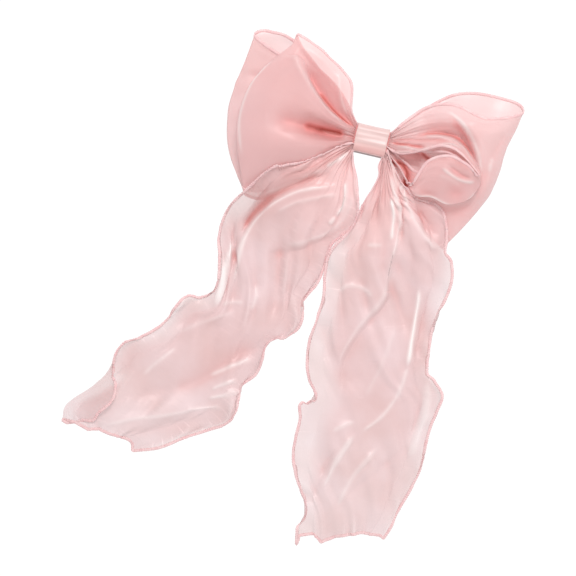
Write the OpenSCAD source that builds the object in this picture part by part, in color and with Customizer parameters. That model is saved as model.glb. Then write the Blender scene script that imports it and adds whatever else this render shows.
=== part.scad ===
// Large organza bow on a flat-topped steel alligator hair clip.
// Millimetres. +X runs along the clip towards its finger lever, +Y towards the tops of
// the loops, +Z up. The clip lies on its lever pad and the bow faces up. The origin is
// the centre of the pad's underside.

/* [Clip] */
// Width of the flat upper arm
arm_w = 10; // [9:0.5:12]
// Thickness of the stamped steel strip
strip_t = 0.8; // [0.6:0.1:0.9]
// Distance from the pad's centre to the tip of the jaws
jaw_reach = 68; // [60:1:74]
// Distance from the pad's centre to the pivot
pivot_reach = 18; // [16:1:20]
// Height of the pivot's centre over the table
pivot_h = 6; // [5.8:0.1:6.2]
// Height of the upper arm's underside over the table
arm_h = 9.6; // [9.4:0.1:9.8]
// Radius of the pivot pin
pin_r = 1.0; // [0.8:0.05:1.1]
// Distance between the teeth of the lower jaw
tooth_pitch = 3; // [2.5:0.5:4]
// Diameter of the spring's wire
wire_d = 0.6; // [0.5:0.05:0.6]

/* [Bow] */
// Thickness of the ribbon's solid
ribbon_t = 0.6; // [0.5:0.05:0.8]
// Diameter of the stitched hem
hem_d = 1.2; // [1:0.1:1.4]
// Width of the satin band round the knot
band_w = 21; // [18:0.5:22]
// Height of the knot's centre over the table
knot_h = 16; // [15.9:0.05:16.2]

/* [Hidden] */
$fn = 48;

steel = [0.72, 0.72, 0.74];
spring_steel = [0.62, 0.63, 0.66];
satin = [0.95, 0.80, 0.79];
organza = [0.93, 0.78, 0.77];
organza_deep = [0.90, 0.71, 0.70];
hem_pink = [0.88, 0.62, 0.62];
thread_white = [0.95, 0.90, 0.89];
glue_clear = [0.88, 0.88, 0.82];

// Upper arm and its ears
side_gap = 0.2;
arm_top = arm_h + strip_t;
ear_l = 12;
ear_r = arm_h - pivot_h - 0.8;
ear_root = 1.2;

// Lower jaw: floor strip, teeth along the tip and ears at the pivot
pad_l = 10;
jaw_w = arm_w - 2 * strip_t - 2 * side_gap;
jaw_floor_h = 3.2;
jaw_tip_h = 6.8;
floor_start = 8;
floor_end = 6;
bend_shift = 0.4;
overlap = 0.2;
teeth_top = arm_h - side_gap;
tooth_depth = 1.1;
teeth_l = 27;
flange_run = 2;
flange_back_drop = 1.6;
flange_rise = 1.4;
jaw_ear_r = 3.1;
running_gap = 0.05;

// Pin and spring
pin_stub = 0.5;
head_t = 0.6;
head_rim = 0.6;
coil_gap = 0.15;
coil_r = pin_r + coil_gap + wire_d / 2;
coil_turns = 4;
coil_steps = 12;
coil_w = jaw_w - 2 * strip_t - 1.2;
leg_l = 7;
leg_steps = 4;
up_leg_rise = 1.4;
low_leg_rise = 1.2;

// Glue
glue_l = 24;
glue_w = 7;

// Knot
knot = [-30, 4, 0];
knot_low_y = -3.9;
knot_high_y = 5.4;
core_r = 3.7;
core_l = band_w + 1.8;
thread_w = 0.8;
thread_t = 0.4;
band_in = 4.2;
band_t = 0.5;

// Ribbons: steps along and across, the swell of the tails between their hems, and the
// sides of the thin tubes
loop_cols = 30;
loop_rows = 14;
petal_cols = 40;
petal_rows = 9;
tail_cols = 45;
tail_rows = 8;
tail_folds = 4;
tail_swell = 1.5;
tail_ripple = 3.4;
table_gap = ribbon_t / 2 + 0.2;
tube_sides = 6;

// Smooth curve through a list of points, s from 0 to 1
function blend4(a, b, c, d, t) =
    0.5 * (2 * b + (c - a) * t + (2 * a - 5 * b + 4 * c - d) * t * t
        + (3 * b - a - 3 * c + d) * t * t * t);
function along(path, s) =
    let (last = len(path) - 1, i = min(floor(s * last), last - 1), t = s * last - i)
    blend4(path[max(i - 1, 0)], path[i], path[i + 1], path[min(i + 2, last)], t);

// Net of points over a set of rails: rows run along the ribbon
function net(rails, rows, cols) =
    let (across = [for (i = [0:cols]) [for (rail = rails) along(rail, i / cols)]])
    [for (j = [0:rows]) [for (i = [0:cols]) along(across[i], j / rows)]];

function unit(v) = v / max(norm(v), 0.000001);
function facing(grid, j, i) =
    let (rows = len(grid) - 1, cols = len(grid[0]) - 1,
        along_step = grid[j][min(i + 1, cols)] - grid[j][max(i - 1, 0)],
        across_step = grid[min(j + 1, rows)][i] - grid[max(j - 1, 0)][i])
    unit(cross(along_step, across_step));

// Closed thin solid on both sides of a net
module ribbon(grid, t) {
    rows = len(grid);
    cols = len(grid[0]);
    count = rows * cols;
    upper = [for (j = [0:rows - 1]) for (i = [0:cols - 1]) grid[j][i] + facing(grid, j, i) * t / 2];
    lower = [for (j = [0:rows - 1]) for (i = [0:cols - 1]) grid[j][i] - facing(grid, j, i) * t / 2];
    rim = concat([for (i = [0:cols - 1]) i],
        [for (j = [1:rows - 1]) j * cols + cols - 1],
        [for (i = [cols - 2:-1:0]) (rows - 1) * cols + i],
        [for (j = [rows - 2:-1:1]) j * cols]);
    turns = len(rim);
    top_faces = [for (j = [0:rows - 2]) for (i = [0:cols - 2]) for (half = [0, 1])
        let (a = j * cols + i, b = a + 1, c = a + cols + 1, d = a + cols)
        half == 0 ? [a, c, b] : [a, d, c]];
    low_faces = [for (f = top_faces) [f[0] + count, f[2] + count, f[1] + count]];
    rim_faces = [for (k = [0:turns - 1]) for (half = [0, 1])
        let (a = rim[k], b = rim[(k + 1) % turns])
        half == 0 ? [a, b, b + count] : [a, b + count, a + count]];
    polyhedron(concat(upper, lower), concat(top_faces, low_faces, rim_faces));
}

// Tube of radius r along a path, each ring set by a normal beside the path
module tube(path, normals, r, sides) {
    last = len(path) - 1;
    rings = [for (k = [0:last])
        let (ahead = unit(path[min(k + 1, last)] - path[max(k - 1, 0)]),
            out = unit(normals[k] - ahead * (normals[k] * ahead)), up = cross(ahead, out))
        for (m = [0:sides - 1]) path[k] + r * (out * cos(360 * m / sides) + up * sin(360 * m / sides))];
    walls = [for (k = [0:last - 1]) for (m = [0:sides - 1]) for (half = [0, 1])
        let (a = k * sides + m, b = k * sides + (m + 1) % sides)
        half == 0 ? [a, a + sides, b + sides] : [a, b + sides, b]];
    ends = [[for (m = [0:sides - 1]) m], [for (m = [sides - 1:-1:0]) last * sides + m]];
    polyhedron(rings, concat(walls, ends));
}

module edge_tube(grid, row) {
    cols = len(grid[0]) - 1;
    tube(grid[row], [for (i = [0:cols]) facing(grid, row, i)], hem_d / 2, tube_sides);
}

// Loops: each rail runs from the knot over the front, round the side fold and back
// behind to the knot. Rails go from the lower hem to the upper hem. Points are
// measured from the knot's centre line on the table.
left_front_rails = [
    [[-10.7, -5, 15.9], [-25, -17, 19], [-45, -30, 18], [-62, -41, 15],
        [-74, -46, 12], [-62, -36, 11], [-40, -22, 13.8], [-10.7, -5, 15.2]],
    [[-10.7, -3, 16.8], [-26, -9, 22], [-48, -14, 30], [-70, -18, 29],
        [-84, -22, 19], [-70, -16, 13], [-42, -9, 14.5], [-10.7, -2.6, 15.3]],
    [[-10.7, -0.5, 17], [-26, -1, 18.5], [-48, -1.5, 27], [-70, -2, 30],
        [-87.5, -4, 20], [-70, -2, 13], [-42, -1, 14.5], [-10.7, -0.4, 15.4]],
    [[-10.7, 1.8, 17.3], [-26, 4, 25], [-48, 10, 34], [-70, 13, 33],
        [-87, 11, 21], [-70, 11, 13.5], [-42, 6, 14.5], [-10.7, 1.5, 15.5]],
    [[-10.7, 4, 17.5], [-30, 12, 27], [-46, 25, 33], [-62, 33, 33],
        [-80, 26, 22], [-66, 22, 14], [-40, 13, 14.5], [-10.7, 3.5, 15.6]],
    [[-10.7, 5.4, 17], [-28, 14, 19], [-43, 28, 21], [-58, 40, 26],
        [-71, 40, 22], [-58, 30, 14.5], [-38, 19, 14.5], [-10.7, 5, 15.7]],
    [[-10.7, 7, 17], [-22, 21, 21], [-34, 35, 25], [-49, 45, 26],
        [-65, 49, 22], [-54, 38, 16], [-32, 24, 15], [-10.7, 6.5, 15.7]],
    [[-10.7, 8.5, 16.5], [-18, 18, 19], [-22, 34, 22], [-43, 49, 24],
        [-62, 56, 22], [-50, 42, 17], [-28, 28, 15.5], [-10.7, 8, 15.6]]];

left_rear_rails = [
    [[-10.7, -5.8, 13.9], [-28, -20, 13], [-50, -36, 8.5], [-64, -45, 7],
        [-73, -49, 6], [-60, -42, 3], [-36, -26, 8], [-10.7, -5, 12.9]],
    [[-10.7, -3.4, 14], [-30, -10, 13], [-55, -18, 9.5], [-76, -24, 9.5],
        [-89, -26, 7.5], [-74, -22, 4], [-44, -13, 10.5], [-10.7, -3, 12.9]],
    [[-10.7, 0, 14.2], [-32, 0, 13.2], [-58, 0, 9.5], [-80, -2, 10],
        [-95, -2, 8], [-78, -1, 4.5], [-46, 0, 10.8], [-10.7, 0, 13]],
    [[-10.7, 3, 14.3], [-32, 10, 13.2], [-58, 17, 9.8], [-78, 20, 10],
        [-94, 18, 8], [-77, 22, 4.5], [-46, 14, 9], [-10.7, 3.2, 13]],
    [[-10.7, 5, 14.3], [-30, 19, 13], [-56, 27, 10], [-76, 28, 11],
        [-91, 36, 8], [-76, 42, 5], [-46, 30, 7], [-10.7, 5.6, 12.9]],
    [[-10.7, 6.8, 14.3], [-28, 24, 13], [-52, 31, 10.5], [-74, 34, 11],
        [-88, 51, 8], [-76, 56, 6], [-48, 44, 7], [-10.7, 7.6, 12.9]]];

right_rear_rails = [
    [[10.7, -5.8, 13.9], [25, -22, 12], [42, -40, 10], [54, -51, 8],
        [62.5, -57, 6], [52, -48, 3.5], [34, -32, 6], [10.7, -5, 12.9]],
    [[10.7, -3, 14], [32, -12, 13], [56, -22, 13], [72, -28, 15],
        [79, -27, 11], [66, -26, 5], [42, -17, 9], [10.7, -3, 12.9]],
    [[10.7, 0, 14.2], [36, 0, 13.5], [62, -4, 12.5], [80, -8, 20],
        [85, -8, 14], [72, -6, 6], [45, -2, 10.8], [10.7, 0, 13]],
    [[10.7, 2.5, 14.3], [36, 12, 14], [60, 14, 14], [75, 12, 28],
        [87, 12, 16], [74, 10, 7], [46, 8, 10.5], [10.7, 3, 13]],
    [[10.7, 5, 14.3], [32, 20, 15], [50, 26, 21], [68, 26, 29],
        [90, 28, 16], [76, 28, 7], [46, 20, 8], [10.7, 5.6, 12.9]],
    [[10.7, 7, 14.3], [30, 28, 16], [48, 34, 22], [70, 31, 25],
        [92, 39, 15], [82, 47, 7], [46, 42, 8], [10.7, 7.6, 12.9]]];

right_front_rails = [
    [[10.7, -1, 17.8], [20, -4, 22], [32, 0, 28], [45, 6.5, 33], [58, 4, 34], [72, -8, 31],
        [62, -2, 34], [50, 0.5, 35], [38, -6, 33], [30, -24, 25], [22, -13, 18.5], [10.7, -3.5, 16.6]],
    [[10.7, 1.5, 17.8], [20, 5, 22], [32, 10, 27], [45, 12.5, 29], [59, 9, 29], [73, -6, 28],
        [68, -14, 28], [54, -13, 31], [43, -14, 30], [33, -22, 24], [24, -12, 18], [10.7, -3, 16.2]],
    [[10.7, 3.5, 17.4], [22, 9, 20.5], [35, 14, 22], [46, 16, 22], [58, 12, 22.5], [73, -6, 24.5],
        [70, -21, 22.5], [58, -28, 22], [46, -27, 22], [34, -25, 21], [24, -11, 17.2], [10.7, -2, 15.9]],
    [[10.7, 6, 16.7], [24, 11, 18.5], [36, 14, 19.5], [46, 14, 19.5], [56, 10, 19.5], [69, -5, 21.5],
        [66, -16, 20.5], [57, -20, 19.5], [45, -19, 19], [33, -17, 18], [23, -8, 16.6], [10.7, -1, 15.6]]];

// Tails: the two hems from the knot to the cut end
left_tail_outer = [[-10.9, -3.4, 18.4], [-22, -11, 24.5], [-42, -25, 26], [-58, -30, 24],
    [-71, -47, 17], [-80, -61, 9], [-82, -80, 4], [-77, -106, 3], [-84, -123, 3],
    [-100, -131, 4], [-107, -149, 3], [-128, -164, 3], [-131, -180, 4],
    [-127, -197, 5], [-134, -214, 3], [-150, -224, 2]];
left_tail_inner = [[-10.9, -6.8, 17], [-8, -18, 17], [-1, -34, 16], [2, -47, 13],
    [0, -58, 9], [-10, -72, 6], [-11, -88, 4], [-17, -105, 3], [-19, -122, 4],
    [-26, -137, 5], [-37, -150, 3], [-40, -166, 4], [-46, -183, 3],
    [-50, -200, 4], [-80, -219, 3], [-106, -232, 2]];
right_tail_inner = [[10.9, -6.8, 16.9], [9, -14, 17], [9, -28, 17], [6, -38, 16],
    [3, -47, 14], [0, -60, 10], [-9, -76, 6], [-7, -100, 3], [-8, -125, 3],
    [-8, -148, 4], [2, -168, 4], [-5, -182, 4], [-4, -204, 3], [6, -230, 4],
    [13, -247, 3], [12, -263, 2]];
right_tail_outer = [[10.9, -3.4, 18.4], [20, -16, 20], [36, -29, 16], [52, -31, 15],
    [60, -40, 14], [62.5, -56, 12], [71, -72, 8], [68, -98, 4], [68, -124, 4],
    [74, -142, 5], [84, -154, 4], [80, -176, 3], [80, -200, 4], [75, -222, 3],
    [71, -238, 4], [67, -250, 2]];

// Rails between two hems, swelling up in the middle and dipping to the table across
function tail_rails(from, to) =
    [for (k = [0:tail_folds]) [for (i = [0:len(from) - 1])
        let (f = k / tail_folds, hang = from[i] * (1 - f) + to[i] * f,
            fade = min(i / 4, 1) * sin(180 * f),
            lift = fade * (tail_swell + tail_ripple * sin(540 * f + 70 * i)))
        [hang[0], hang[1], max(hang[2] + lift, table_gap)]]];

left_front_net = net(left_front_rails, loop_rows, loop_cols);
left_rear_net = net(left_rear_rails, loop_rows, loop_cols);
right_rear_net = net(right_rear_rails, loop_rows, loop_cols);
right_front_net = net(right_front_rails, petal_rows, petal_cols);
left_tail_net = net(tail_rails(left_tail_outer, left_tail_inner), tail_rows, tail_cols);
right_tail_net = net(tail_rails(right_tail_inner, right_tail_outer), tail_rows, tail_cols);

// Stadium outline round the knot's section, in the YZ plane
module knot_section(r) {
    for (y = [knot_low_y, knot_high_y]) translate([y, knot_h]) circle(r);
    translate([knot_low_y, knot_h - r]) square([knot_high_y - knot_low_y, 2 * r]);
}
module along_knot(w) {
    translate([-w / 2, 0, 0]) rotate([90, 0, 90]) linear_extrude(w) children();
}

// Flat upper arm with two ears for the pivot
module upper_arm() color(steel) difference() {
    union() {
        translate([-jaw_reach + arm_w / 2, 0, arm_h]) cylinder(h = strip_t, r = arm_w / 2);
        translate([-jaw_reach + arm_w / 2, -arm_w / 2, arm_h]) cube([jaw_reach, arm_w, strip_t]);
        for (s = [-1, 1])
            translate([-pivot_reach, s * (arm_w - strip_t) / 2 + strip_t / 2, 0])
                rotate([90, 0, 0]) linear_extrude(strip_t) union() {
                    translate([0, pivot_h]) circle(ear_r);
                    translate([-ear_r, pivot_h]) square([2 * ear_r, arm_top - pivot_h]);
                    translate([-ear_l / 2, arm_h - ear_root]) square([ear_l, ear_root + strip_t]);
                }
    }
    translate([-pivot_reach, arm_w, pivot_h]) rotate([90, 0, 0]) cylinder(h = 2 * arm_w, r = pin_r);
}

// Side outline of the lower jaw's floor strip, from tip to lever pad, in XZ
module jaw_floor_outline() {
    polygon([
        [-jaw_reach, jaw_tip_h],
        [-pivot_reach - floor_start, jaw_floor_h], [-pivot_reach + floor_end, jaw_floor_h],
        [-pad_l / 2, 0], [pad_l / 2, 0], [pad_l / 2, strip_t], [-pad_l / 2 + bend_shift, strip_t],
        [-pivot_reach + floor_end + bend_shift, jaw_floor_h + strip_t],
        [-pivot_reach - floor_start, jaw_floor_h + strip_t],
        [-jaw_reach, jaw_tip_h + strip_t]]);
}
// Side flange with teeth along the tip and a round ear at the pivot
module jaw_flange_outline() {
    back_of_teeth = -jaw_reach + teeth_l;
    union() {
        polygon(concat(
            [[-jaw_reach, jaw_tip_h + overlap], [-jaw_reach, teeth_top]],
            [for (k = [1:floor(teeth_l / tooth_pitch)]) for (part = [0, 1])
                [-jaw_reach + (k - (part == 0 ? 0.5 : 0)) * tooth_pitch,
                    teeth_top - (part == 0 ? tooth_depth : 0)]],
            [[back_of_teeth + flange_run, teeth_top - flange_back_drop],
                [-pivot_reach - flange_run, pivot_h + flange_rise],
                [-pivot_reach + floor_end - 1, jaw_floor_h + flange_rise],
                [-pivot_reach + floor_end, jaw_floor_h + overlap],
                [-pivot_reach - floor_start, jaw_floor_h + overlap]]));
        translate([-pivot_reach, pivot_h]) circle(jaw_ear_r);
    }
}
module lower_jaw() color(steel) difference() {
    union() {
        translate([0, jaw_w / 2, 0]) rotate([90, 0, 0]) linear_extrude(jaw_w) jaw_floor_outline();
        for (s = [-1, 1])
            translate([0, s * (jaw_w - strip_t) / 2 + strip_t / 2, 0])
                rotate([90, 0, 0]) linear_extrude(strip_t) jaw_flange_outline();
    }
    translate([-pivot_reach, arm_w, pivot_h]) rotate([90, 0, 0])
        cylinder(h = 2 * arm_w, r = pin_r + running_gap);
}

// Pin through both pairs of ears, with a rolled head at each end
module pivot_pin() color(spring_steel) translate([-pivot_reach, 0, pivot_h]) rotate([90, 0, 0]) {
    translate([0, 0, -arm_w / 2 - pin_stub]) cylinder(h = arm_w + 2 * pin_stub, r = pin_r);
    for (s = [-1, 1])
        translate([0, 0, s * (arm_w + head_t) / 2 - head_t / 2]) cylinder(h = head_t, r = pin_r + head_rim);
}

// Spring: a coil round the pin and two legs that push the levers apart
module torsion_spring() color(spring_steel) {
    steps = coil_turns * coil_steps;
    coil = [for (k = [0:steps]) let (a = 90 + 360 * k / coil_steps)
        [-pivot_reach + coil_r * cos(a), coil_w * (k / steps - 0.5), pivot_h + coil_r * sin(a)]];
    up_leg = [for (k = [leg_steps:-1:1]) let (f = k / leg_steps)
        [-pivot_reach + leg_l * f, -coil_w / 2, pivot_h + coil_r + up_leg_rise * f]];
    low_leg = [for (k = [1:leg_steps]) let (f = k / leg_steps)
        [-pivot_reach + leg_l * f, coil_w / 2, pivot_h + coil_r + low_leg_rise * f]];
    path = concat(up_leg, coil, low_leg);
    tube(path, [for (p = path) [0, 1, 0]], wire_d / 2, tube_sides);
}

// Bead of glue between the arm and the knot
module glue_pad() color(glue_clear) translate([knot[0], 0, arm_top]) {
    glue_h = knot_h - band_in - band_t - arm_top;
    translate([-(glue_l - glue_w) / 2, -glue_w / 2, 0]) cube([glue_l - glue_w, glue_w, glue_h]);
    for (s = [-1, 1]) translate([s * (glue_l - glue_w) / 2, 0, 0]) cylinder(h = glue_h, r = glue_w / 2);
}

module gathered_core() color(organza_deep) translate(knot) along_knot(core_l) knot_section(core_r);

// Three turns of thread that hold the gathers
module gathering_thread() color(thread_white) translate(knot)
    for (k = [-1:1]) translate([2 * k * thread_w, 0, 0]) along_knot(thread_w) difference() {
        knot_section(core_r + thread_t);
        knot_section(core_r);
    }

module knot_band() color(satin) translate(knot) along_knot(band_w) difference() {
    knot_section(band_in + band_t);
    knot_section(band_in);
}

module left_rear_loop() color(organza_deep) translate(knot) ribbon(left_rear_net, ribbon_t);
module left_front_loop() color(organza) translate(knot) ribbon(left_front_net, ribbon_t);
module right_rear_loop() color(organza_deep) translate(knot) ribbon(right_rear_net, ribbon_t);
module right_front_loop() color(organza) translate(knot) ribbon(right_front_net, ribbon_t);
module left_tail() color(organza) translate(knot) ribbon(left_tail_net, ribbon_t);
module right_tail() color(organza) translate(knot) ribbon(right_tail_net, ribbon_t);

module loop_hem(grid) color(hem_pink) translate(knot) {
    edge_tube(grid, 0);
    edge_tube(grid, len(grid) - 1);
}
// One hem round the tail: down one side, across the cut end and back up
module tail_hem(grid) color(hem_pink) translate(knot) {
    rows = len(grid) - 1;
    cols = len(grid[0]) - 1;
    stops = concat([for (i = [0:cols]) [0, i]], [for (j = [1:rows]) [j, cols]],
        [for (i = [cols - 1:-1:0]) [rows, i]]);
    tube([for (s = stops) grid[s[0]][s[1]]], [for (s = stops) facing(grid, s[0], s[1])], hem_d / 2, tube_sides);
}
module left_rear_hem() loop_hem(left_rear_net);
module left_front_hem() loop_hem(left_front_net);
module right_rear_hem() loop_hem(right_rear_net);
module right_front_hem() loop_hem(right_front_net);
module left_tail_hem() tail_hem(left_tail_net);
module right_tail_hem() tail_hem(right_tail_net);

upper_arm();
lower_jaw();
pivot_pin();
torsion_spring();
glue_pad();
gathered_core();
gathering_thread();
knot_band();
left_rear_loop();
left_front_loop();
right_rear_loop();
right_front_loop();
left_tail();
right_tail();
left_rear_hem();
left_front_hem();
right_rear_hem();
right_front_hem();
left_tail_hem();
right_tail_hem();
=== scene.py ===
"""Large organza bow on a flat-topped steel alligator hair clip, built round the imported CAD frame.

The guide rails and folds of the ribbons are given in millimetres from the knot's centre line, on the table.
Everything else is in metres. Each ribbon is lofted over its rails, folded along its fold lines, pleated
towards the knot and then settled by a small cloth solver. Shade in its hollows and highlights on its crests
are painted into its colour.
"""
import math

import bpy
import numpy as np
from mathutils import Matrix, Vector


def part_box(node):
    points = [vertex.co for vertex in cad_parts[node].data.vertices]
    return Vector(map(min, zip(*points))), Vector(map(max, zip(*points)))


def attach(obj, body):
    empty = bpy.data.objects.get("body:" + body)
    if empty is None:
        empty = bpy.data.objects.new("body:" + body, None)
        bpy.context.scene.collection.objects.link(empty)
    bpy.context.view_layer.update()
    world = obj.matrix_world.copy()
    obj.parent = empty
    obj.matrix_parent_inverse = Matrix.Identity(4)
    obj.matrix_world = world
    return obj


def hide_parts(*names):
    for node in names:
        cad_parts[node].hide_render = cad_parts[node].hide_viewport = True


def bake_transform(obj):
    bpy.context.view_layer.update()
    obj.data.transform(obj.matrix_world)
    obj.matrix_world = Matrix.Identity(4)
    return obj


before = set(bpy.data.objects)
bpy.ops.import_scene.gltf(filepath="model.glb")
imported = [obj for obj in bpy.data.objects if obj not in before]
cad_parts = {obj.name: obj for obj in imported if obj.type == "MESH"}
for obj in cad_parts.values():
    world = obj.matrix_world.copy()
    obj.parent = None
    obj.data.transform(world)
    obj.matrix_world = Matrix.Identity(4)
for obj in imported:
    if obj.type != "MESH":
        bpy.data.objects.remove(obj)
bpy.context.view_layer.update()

MM = 0.001
CLIP_BODY = "clip_and_bow"

# The knot's centre line, from its satin band
BAND_OFF_CENTRE = 0.00075
band_low, band_high = (np.array(corner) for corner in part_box("knot_band"))
band_middle = (band_low + band_high) / 2
KNOT = np.array([band_middle[0], band_middle[1] - BAND_OFF_CENTRE, 0.0])

# ---------------------------------------------------------------- guide rails
# Loops: each rail runs from the knot over the front, round the side fold and back behind to the knot.
# Rails go from the lower hem to the upper hem.
LEFT_FRONT = [
    [(-10.7, -5, 15.9), (-25, -21, 18), (-44, -37, 16), (-61, -47, 14),
     (-74, -48, 12), (-62, -36, 11), (-40, -22, 13.8), (-10.7, -5, 15.2)],
    [(-10.7, -3, 16.8), (-26, -9, 25), (-46, -15, 31), (-68, -20, 29),
     (-84, -22, 19), (-70, -16, 13), (-42, -9, 14.5), (-10.7, -2.6, 15.3)],
    [(-10.7, -0.5, 17), (-26, -1, 20), (-48, -1.5, 29), (-70, -2, 31),
     (-87.3, -4, 20), (-70, -2, 13), (-42, -1, 14.5), (-10.7, -0.4, 15.4)],
    [(-10.7, 2.4, 17.3), (-26, 5, 27), (-46, 11, 34), (-70, 14, 33),
     (-86.5, 12, 21), (-70, 11, 13.5), (-42, 6, 14.5), (-10.7, 1.5, 15.5)],
    [(-10.7, 4.2, 17.5), (-30, 12, 27), (-45, 24, 33), (-59, 39, 34),
     (-80, 27.5, 23), (-66, 22, 14), (-40, 13, 14.5), (-10.7, 3.5, 15.6)],
    [(-10.7, 5, 17), (-29, 14, 19), (-43, 27, 21), (-56, 42, 26),
     (-71, 40, 22), (-58, 30, 14.5), (-38, 19, 14.5), (-10.7, 5, 15.7)],
    [(-10.7, 6.6, 17), (-23, 20, 22), (-34, 35, 26), (-48, 46, 27),
     (-64, 49, 23), (-54, 38, 16), (-32, 24, 15), (-10.7, 6.5, 15.7)],
    [(-10.7, 8.5, 16.5), (-17, 17, 19), (-22, 35, 22), (-42, 48.5, 24),
     (-62, 56, 22), (-50, 42, 17), (-28, 28, 15.5), (-10.7, 8, 15.6)]]

LEFT_REAR = [
    [(-10.7, -5.8, 13.9), (-27, -25, 12), (-46, -42, 8.5), (-62, -52, 7),
     (-73, -50, 6), (-60, -42, 3), (-36, -26, 8), (-10.7, -5, 12.9)],
    [(-10.7, -3.4, 14), (-30, -10, 13), (-55, -18, 9.5), (-76, -24, 9.5),
     (-89, -26, 7.5), (-74, -22, 4), (-44, -13, 10.5), (-10.7, -3, 12.9)],
    [(-10.7, 0, 14.2), (-32, 0, 13.2), (-58, 0, 9.5), (-80, -2, 10),
     (-95, -2, 8), (-78, -1, 4.5), (-46, 0, 10.8), (-10.7, 0, 13)],
    [(-10.7, 3, 14.3), (-32, 10, 13.2), (-58, 17, 9.8), (-78, 20, 10),
     (-95, 16, 8), (-78, 22, 4.5), (-46, 14, 9), (-10.7, 3.2, 13)],
    [(-10.7, 5, 14.3), (-30, 20, 13), (-54, 30, 10), (-74, 32, 11),
     (-91.5, 34, 8), (-79, 42, 5), (-48, 32, 7), (-10.7, 5.6, 12.9)],
    [(-10.7, 6.8, 14.3), (-28, 26, 13), (-52, 38, 10.5), (-71, 42, 11),
     (-89, 50.5, 8), (-80.5, 55.8, 6), (-57, 49.5, 7), (-10.7, 7.6, 12.9)]]

RIGHT_REAR = [
    [(10.7, -5.8, 13.9), (25, -22, 12), (42, -40, 10), (54, -51, 8),
     (62.5, -57, 6), (52, -48, 3.5), (34, -32, 6), (10.7, -5, 12.9)],
    [(10.7, -3, 14), (32, -12, 13), (56, -22, 13), (72, -28, 15),
     (79, -27, 11), (66, -26, 5), (42, -17, 9), (10.7, -3, 12.9)],
    [(10.7, 0, 14.2), (36, 0, 14.5), (60, -4, 17), (77, -8, 24),
     (85, -8, 14), (72, -6, 6), (45, -2, 10.8), (10.7, 0, 13)],
    [(10.7, 2.5, 14.3), (34, 12, 16), (54, 15, 19.5), (71, 11, 28),
     (87, 12, 16), (74, 10, 7), (46, 8, 10.5), (10.7, 3, 13)],
    [(10.7, 5, 14.3), (30, 19, 18), (47, 24, 25), (64, 24, 31),
     (90, 28, 16), (76, 28, 7), (46, 20, 8), (10.7, 5.6, 12.9)],
    [(10.7, 7, 14.3), (29, 28, 17), (47, 34.5, 22), (70, 30, 26),
     (92, 40, 15), (82, 47, 7), (46, 42, 8), (10.7, 7.6, 12.9)]]

RIGHT_FRONT = [
    [(10.7, -1, 17.8), (20, -4, 21), (32, 0, 26), (45, 6.5, 31), (58, 4.5, 33), (72, -7, 31),
     (62, -2, 34), (50, 0.5, 34), (38, -6, 31), (31, -22, 24), (22, -13, 18.5), (10.7, -3.5, 16.6)],
    [(10.7, 1.5, 17.8), (20, 4, 21.5), (32, 9.5, 26.5), (45, 12.5, 29), (59, 9, 30), (73, -5, 28),
     (69, -13, 28), (54, -13, 31), (43, -14, 30), (33, -23, 24), (24, -12, 18), (10.7, -3, 16.2)],
    [(10.7, 3.5, 17.4), (22, 7, 20.5), (35, 13, 22), (46, 15, 23), (58, 12.5, 23.5), (73, -6, 24.5),
     (71, -21, 22.5), (58, -29, 22), (46, -27, 22), (34, -27, 21), (24, -11, 17.2), (10.7, -2, 15.9)],
    [(10.7, 3, 16.7), (24, 3, 18.5), (36, 1, 22), (46, 3, 28), (57, 1, 29), (66, -7, 27),
     (62, -8, 27), (54, -8, 27), (44, -8, 24), (34, -13, 19), (24, -8, 16.6), (10.7, -1, 15.6)]]

# Tails: the two hems from the knot to the cut end, each with a smoother rail inside it
LEFT_TAIL_OUTER = [
    (-10.9, -3.4, 18.4), (-20, -10, 23), (-30, -17, 25.5), (-40, -24, 26.5), (-50, -28, 26),
    (-57, -30.5, 24), (-64, -38, 21), (-71, -48, 16), (-79, -60, 9), (-82.5, -72, 6), (-82.5, -83, 4),
    (-79.5, -95, 5), (-76.5, -110, 7), (-78, -119, 6), (-86, -124, 3), (-95, -126, 5), (-100, -133, 7),
    (-103, -142, 4), (-109, -150, 3), (-118, -158, 4), (-127, -164, 7), (-131, -173, 7), (-130, -184, 5),
    (-126, -195, 6), (-127, -204, 7), (-133, -212, 6), (-136, -218, 5), (-143, -220, 4), (-151, -224, 3)]
LEFT_TAIL_TURN = [
    (-10.9, -4, 18.1), (-20, -12, 23.5), (-38, -28, 24.5), (-52, -35, 22), (-64, -52, 15), (-74, -68, 7),
    (-75, -84, 3), (-71, -106, 3), (-75, -127, 4), (-90, -136, 3), (-97, -153, 3), (-117, -168, 3),
    (-124, -179, 3), (-139, -196, 2.4), (-154, -211, 2), (-153, -222, 2)]
LEFT_TAIL_INNER = [
    (-10.9, -6.8, 17), (-8, -17, 18), (-4, -26, 18), (-1, -35, 17), (2, -47, 13), (1, -56, 9), (-5, -64, 6),
    (-10, -72, 5), (-11, -85, 4), (-13, -98, 3), (-18, -108, 4), (-19.5, -114, 7), (-18, -122, 7),
    (-19, -130, 5), (-25, -136.5, 3), (-32, -139.5, 4), (-36, -145, 7), (-37, -155, 7), (-39, -165, 4),
    (-46, -174, 3), (-46, -183, 6), (-46, -192, 6), (-50, -200, 3), (-60, -207, 2), (-75, -216, 3),
    (-90, -226, 4), (-106, -232, 2)]
LEFT_TAIL_INSIDE = [
    (-10.9, -6.2, 17.4), (-11, -17, 18), (-10, -30, 18), (-8, -44, 14), (-10, -58, 8), (-19, -74, 5),
    (-21, -90, 4), (-27, -108, 3.5), (-29, -124, 4), (-38, -140, 3.5), (-46, -154, 4), (-51, -168, 3.5),
    (-56, -184, 4), (-64, -196, 3), (-82, -208, 3), (-112, -224, 2)]
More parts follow.
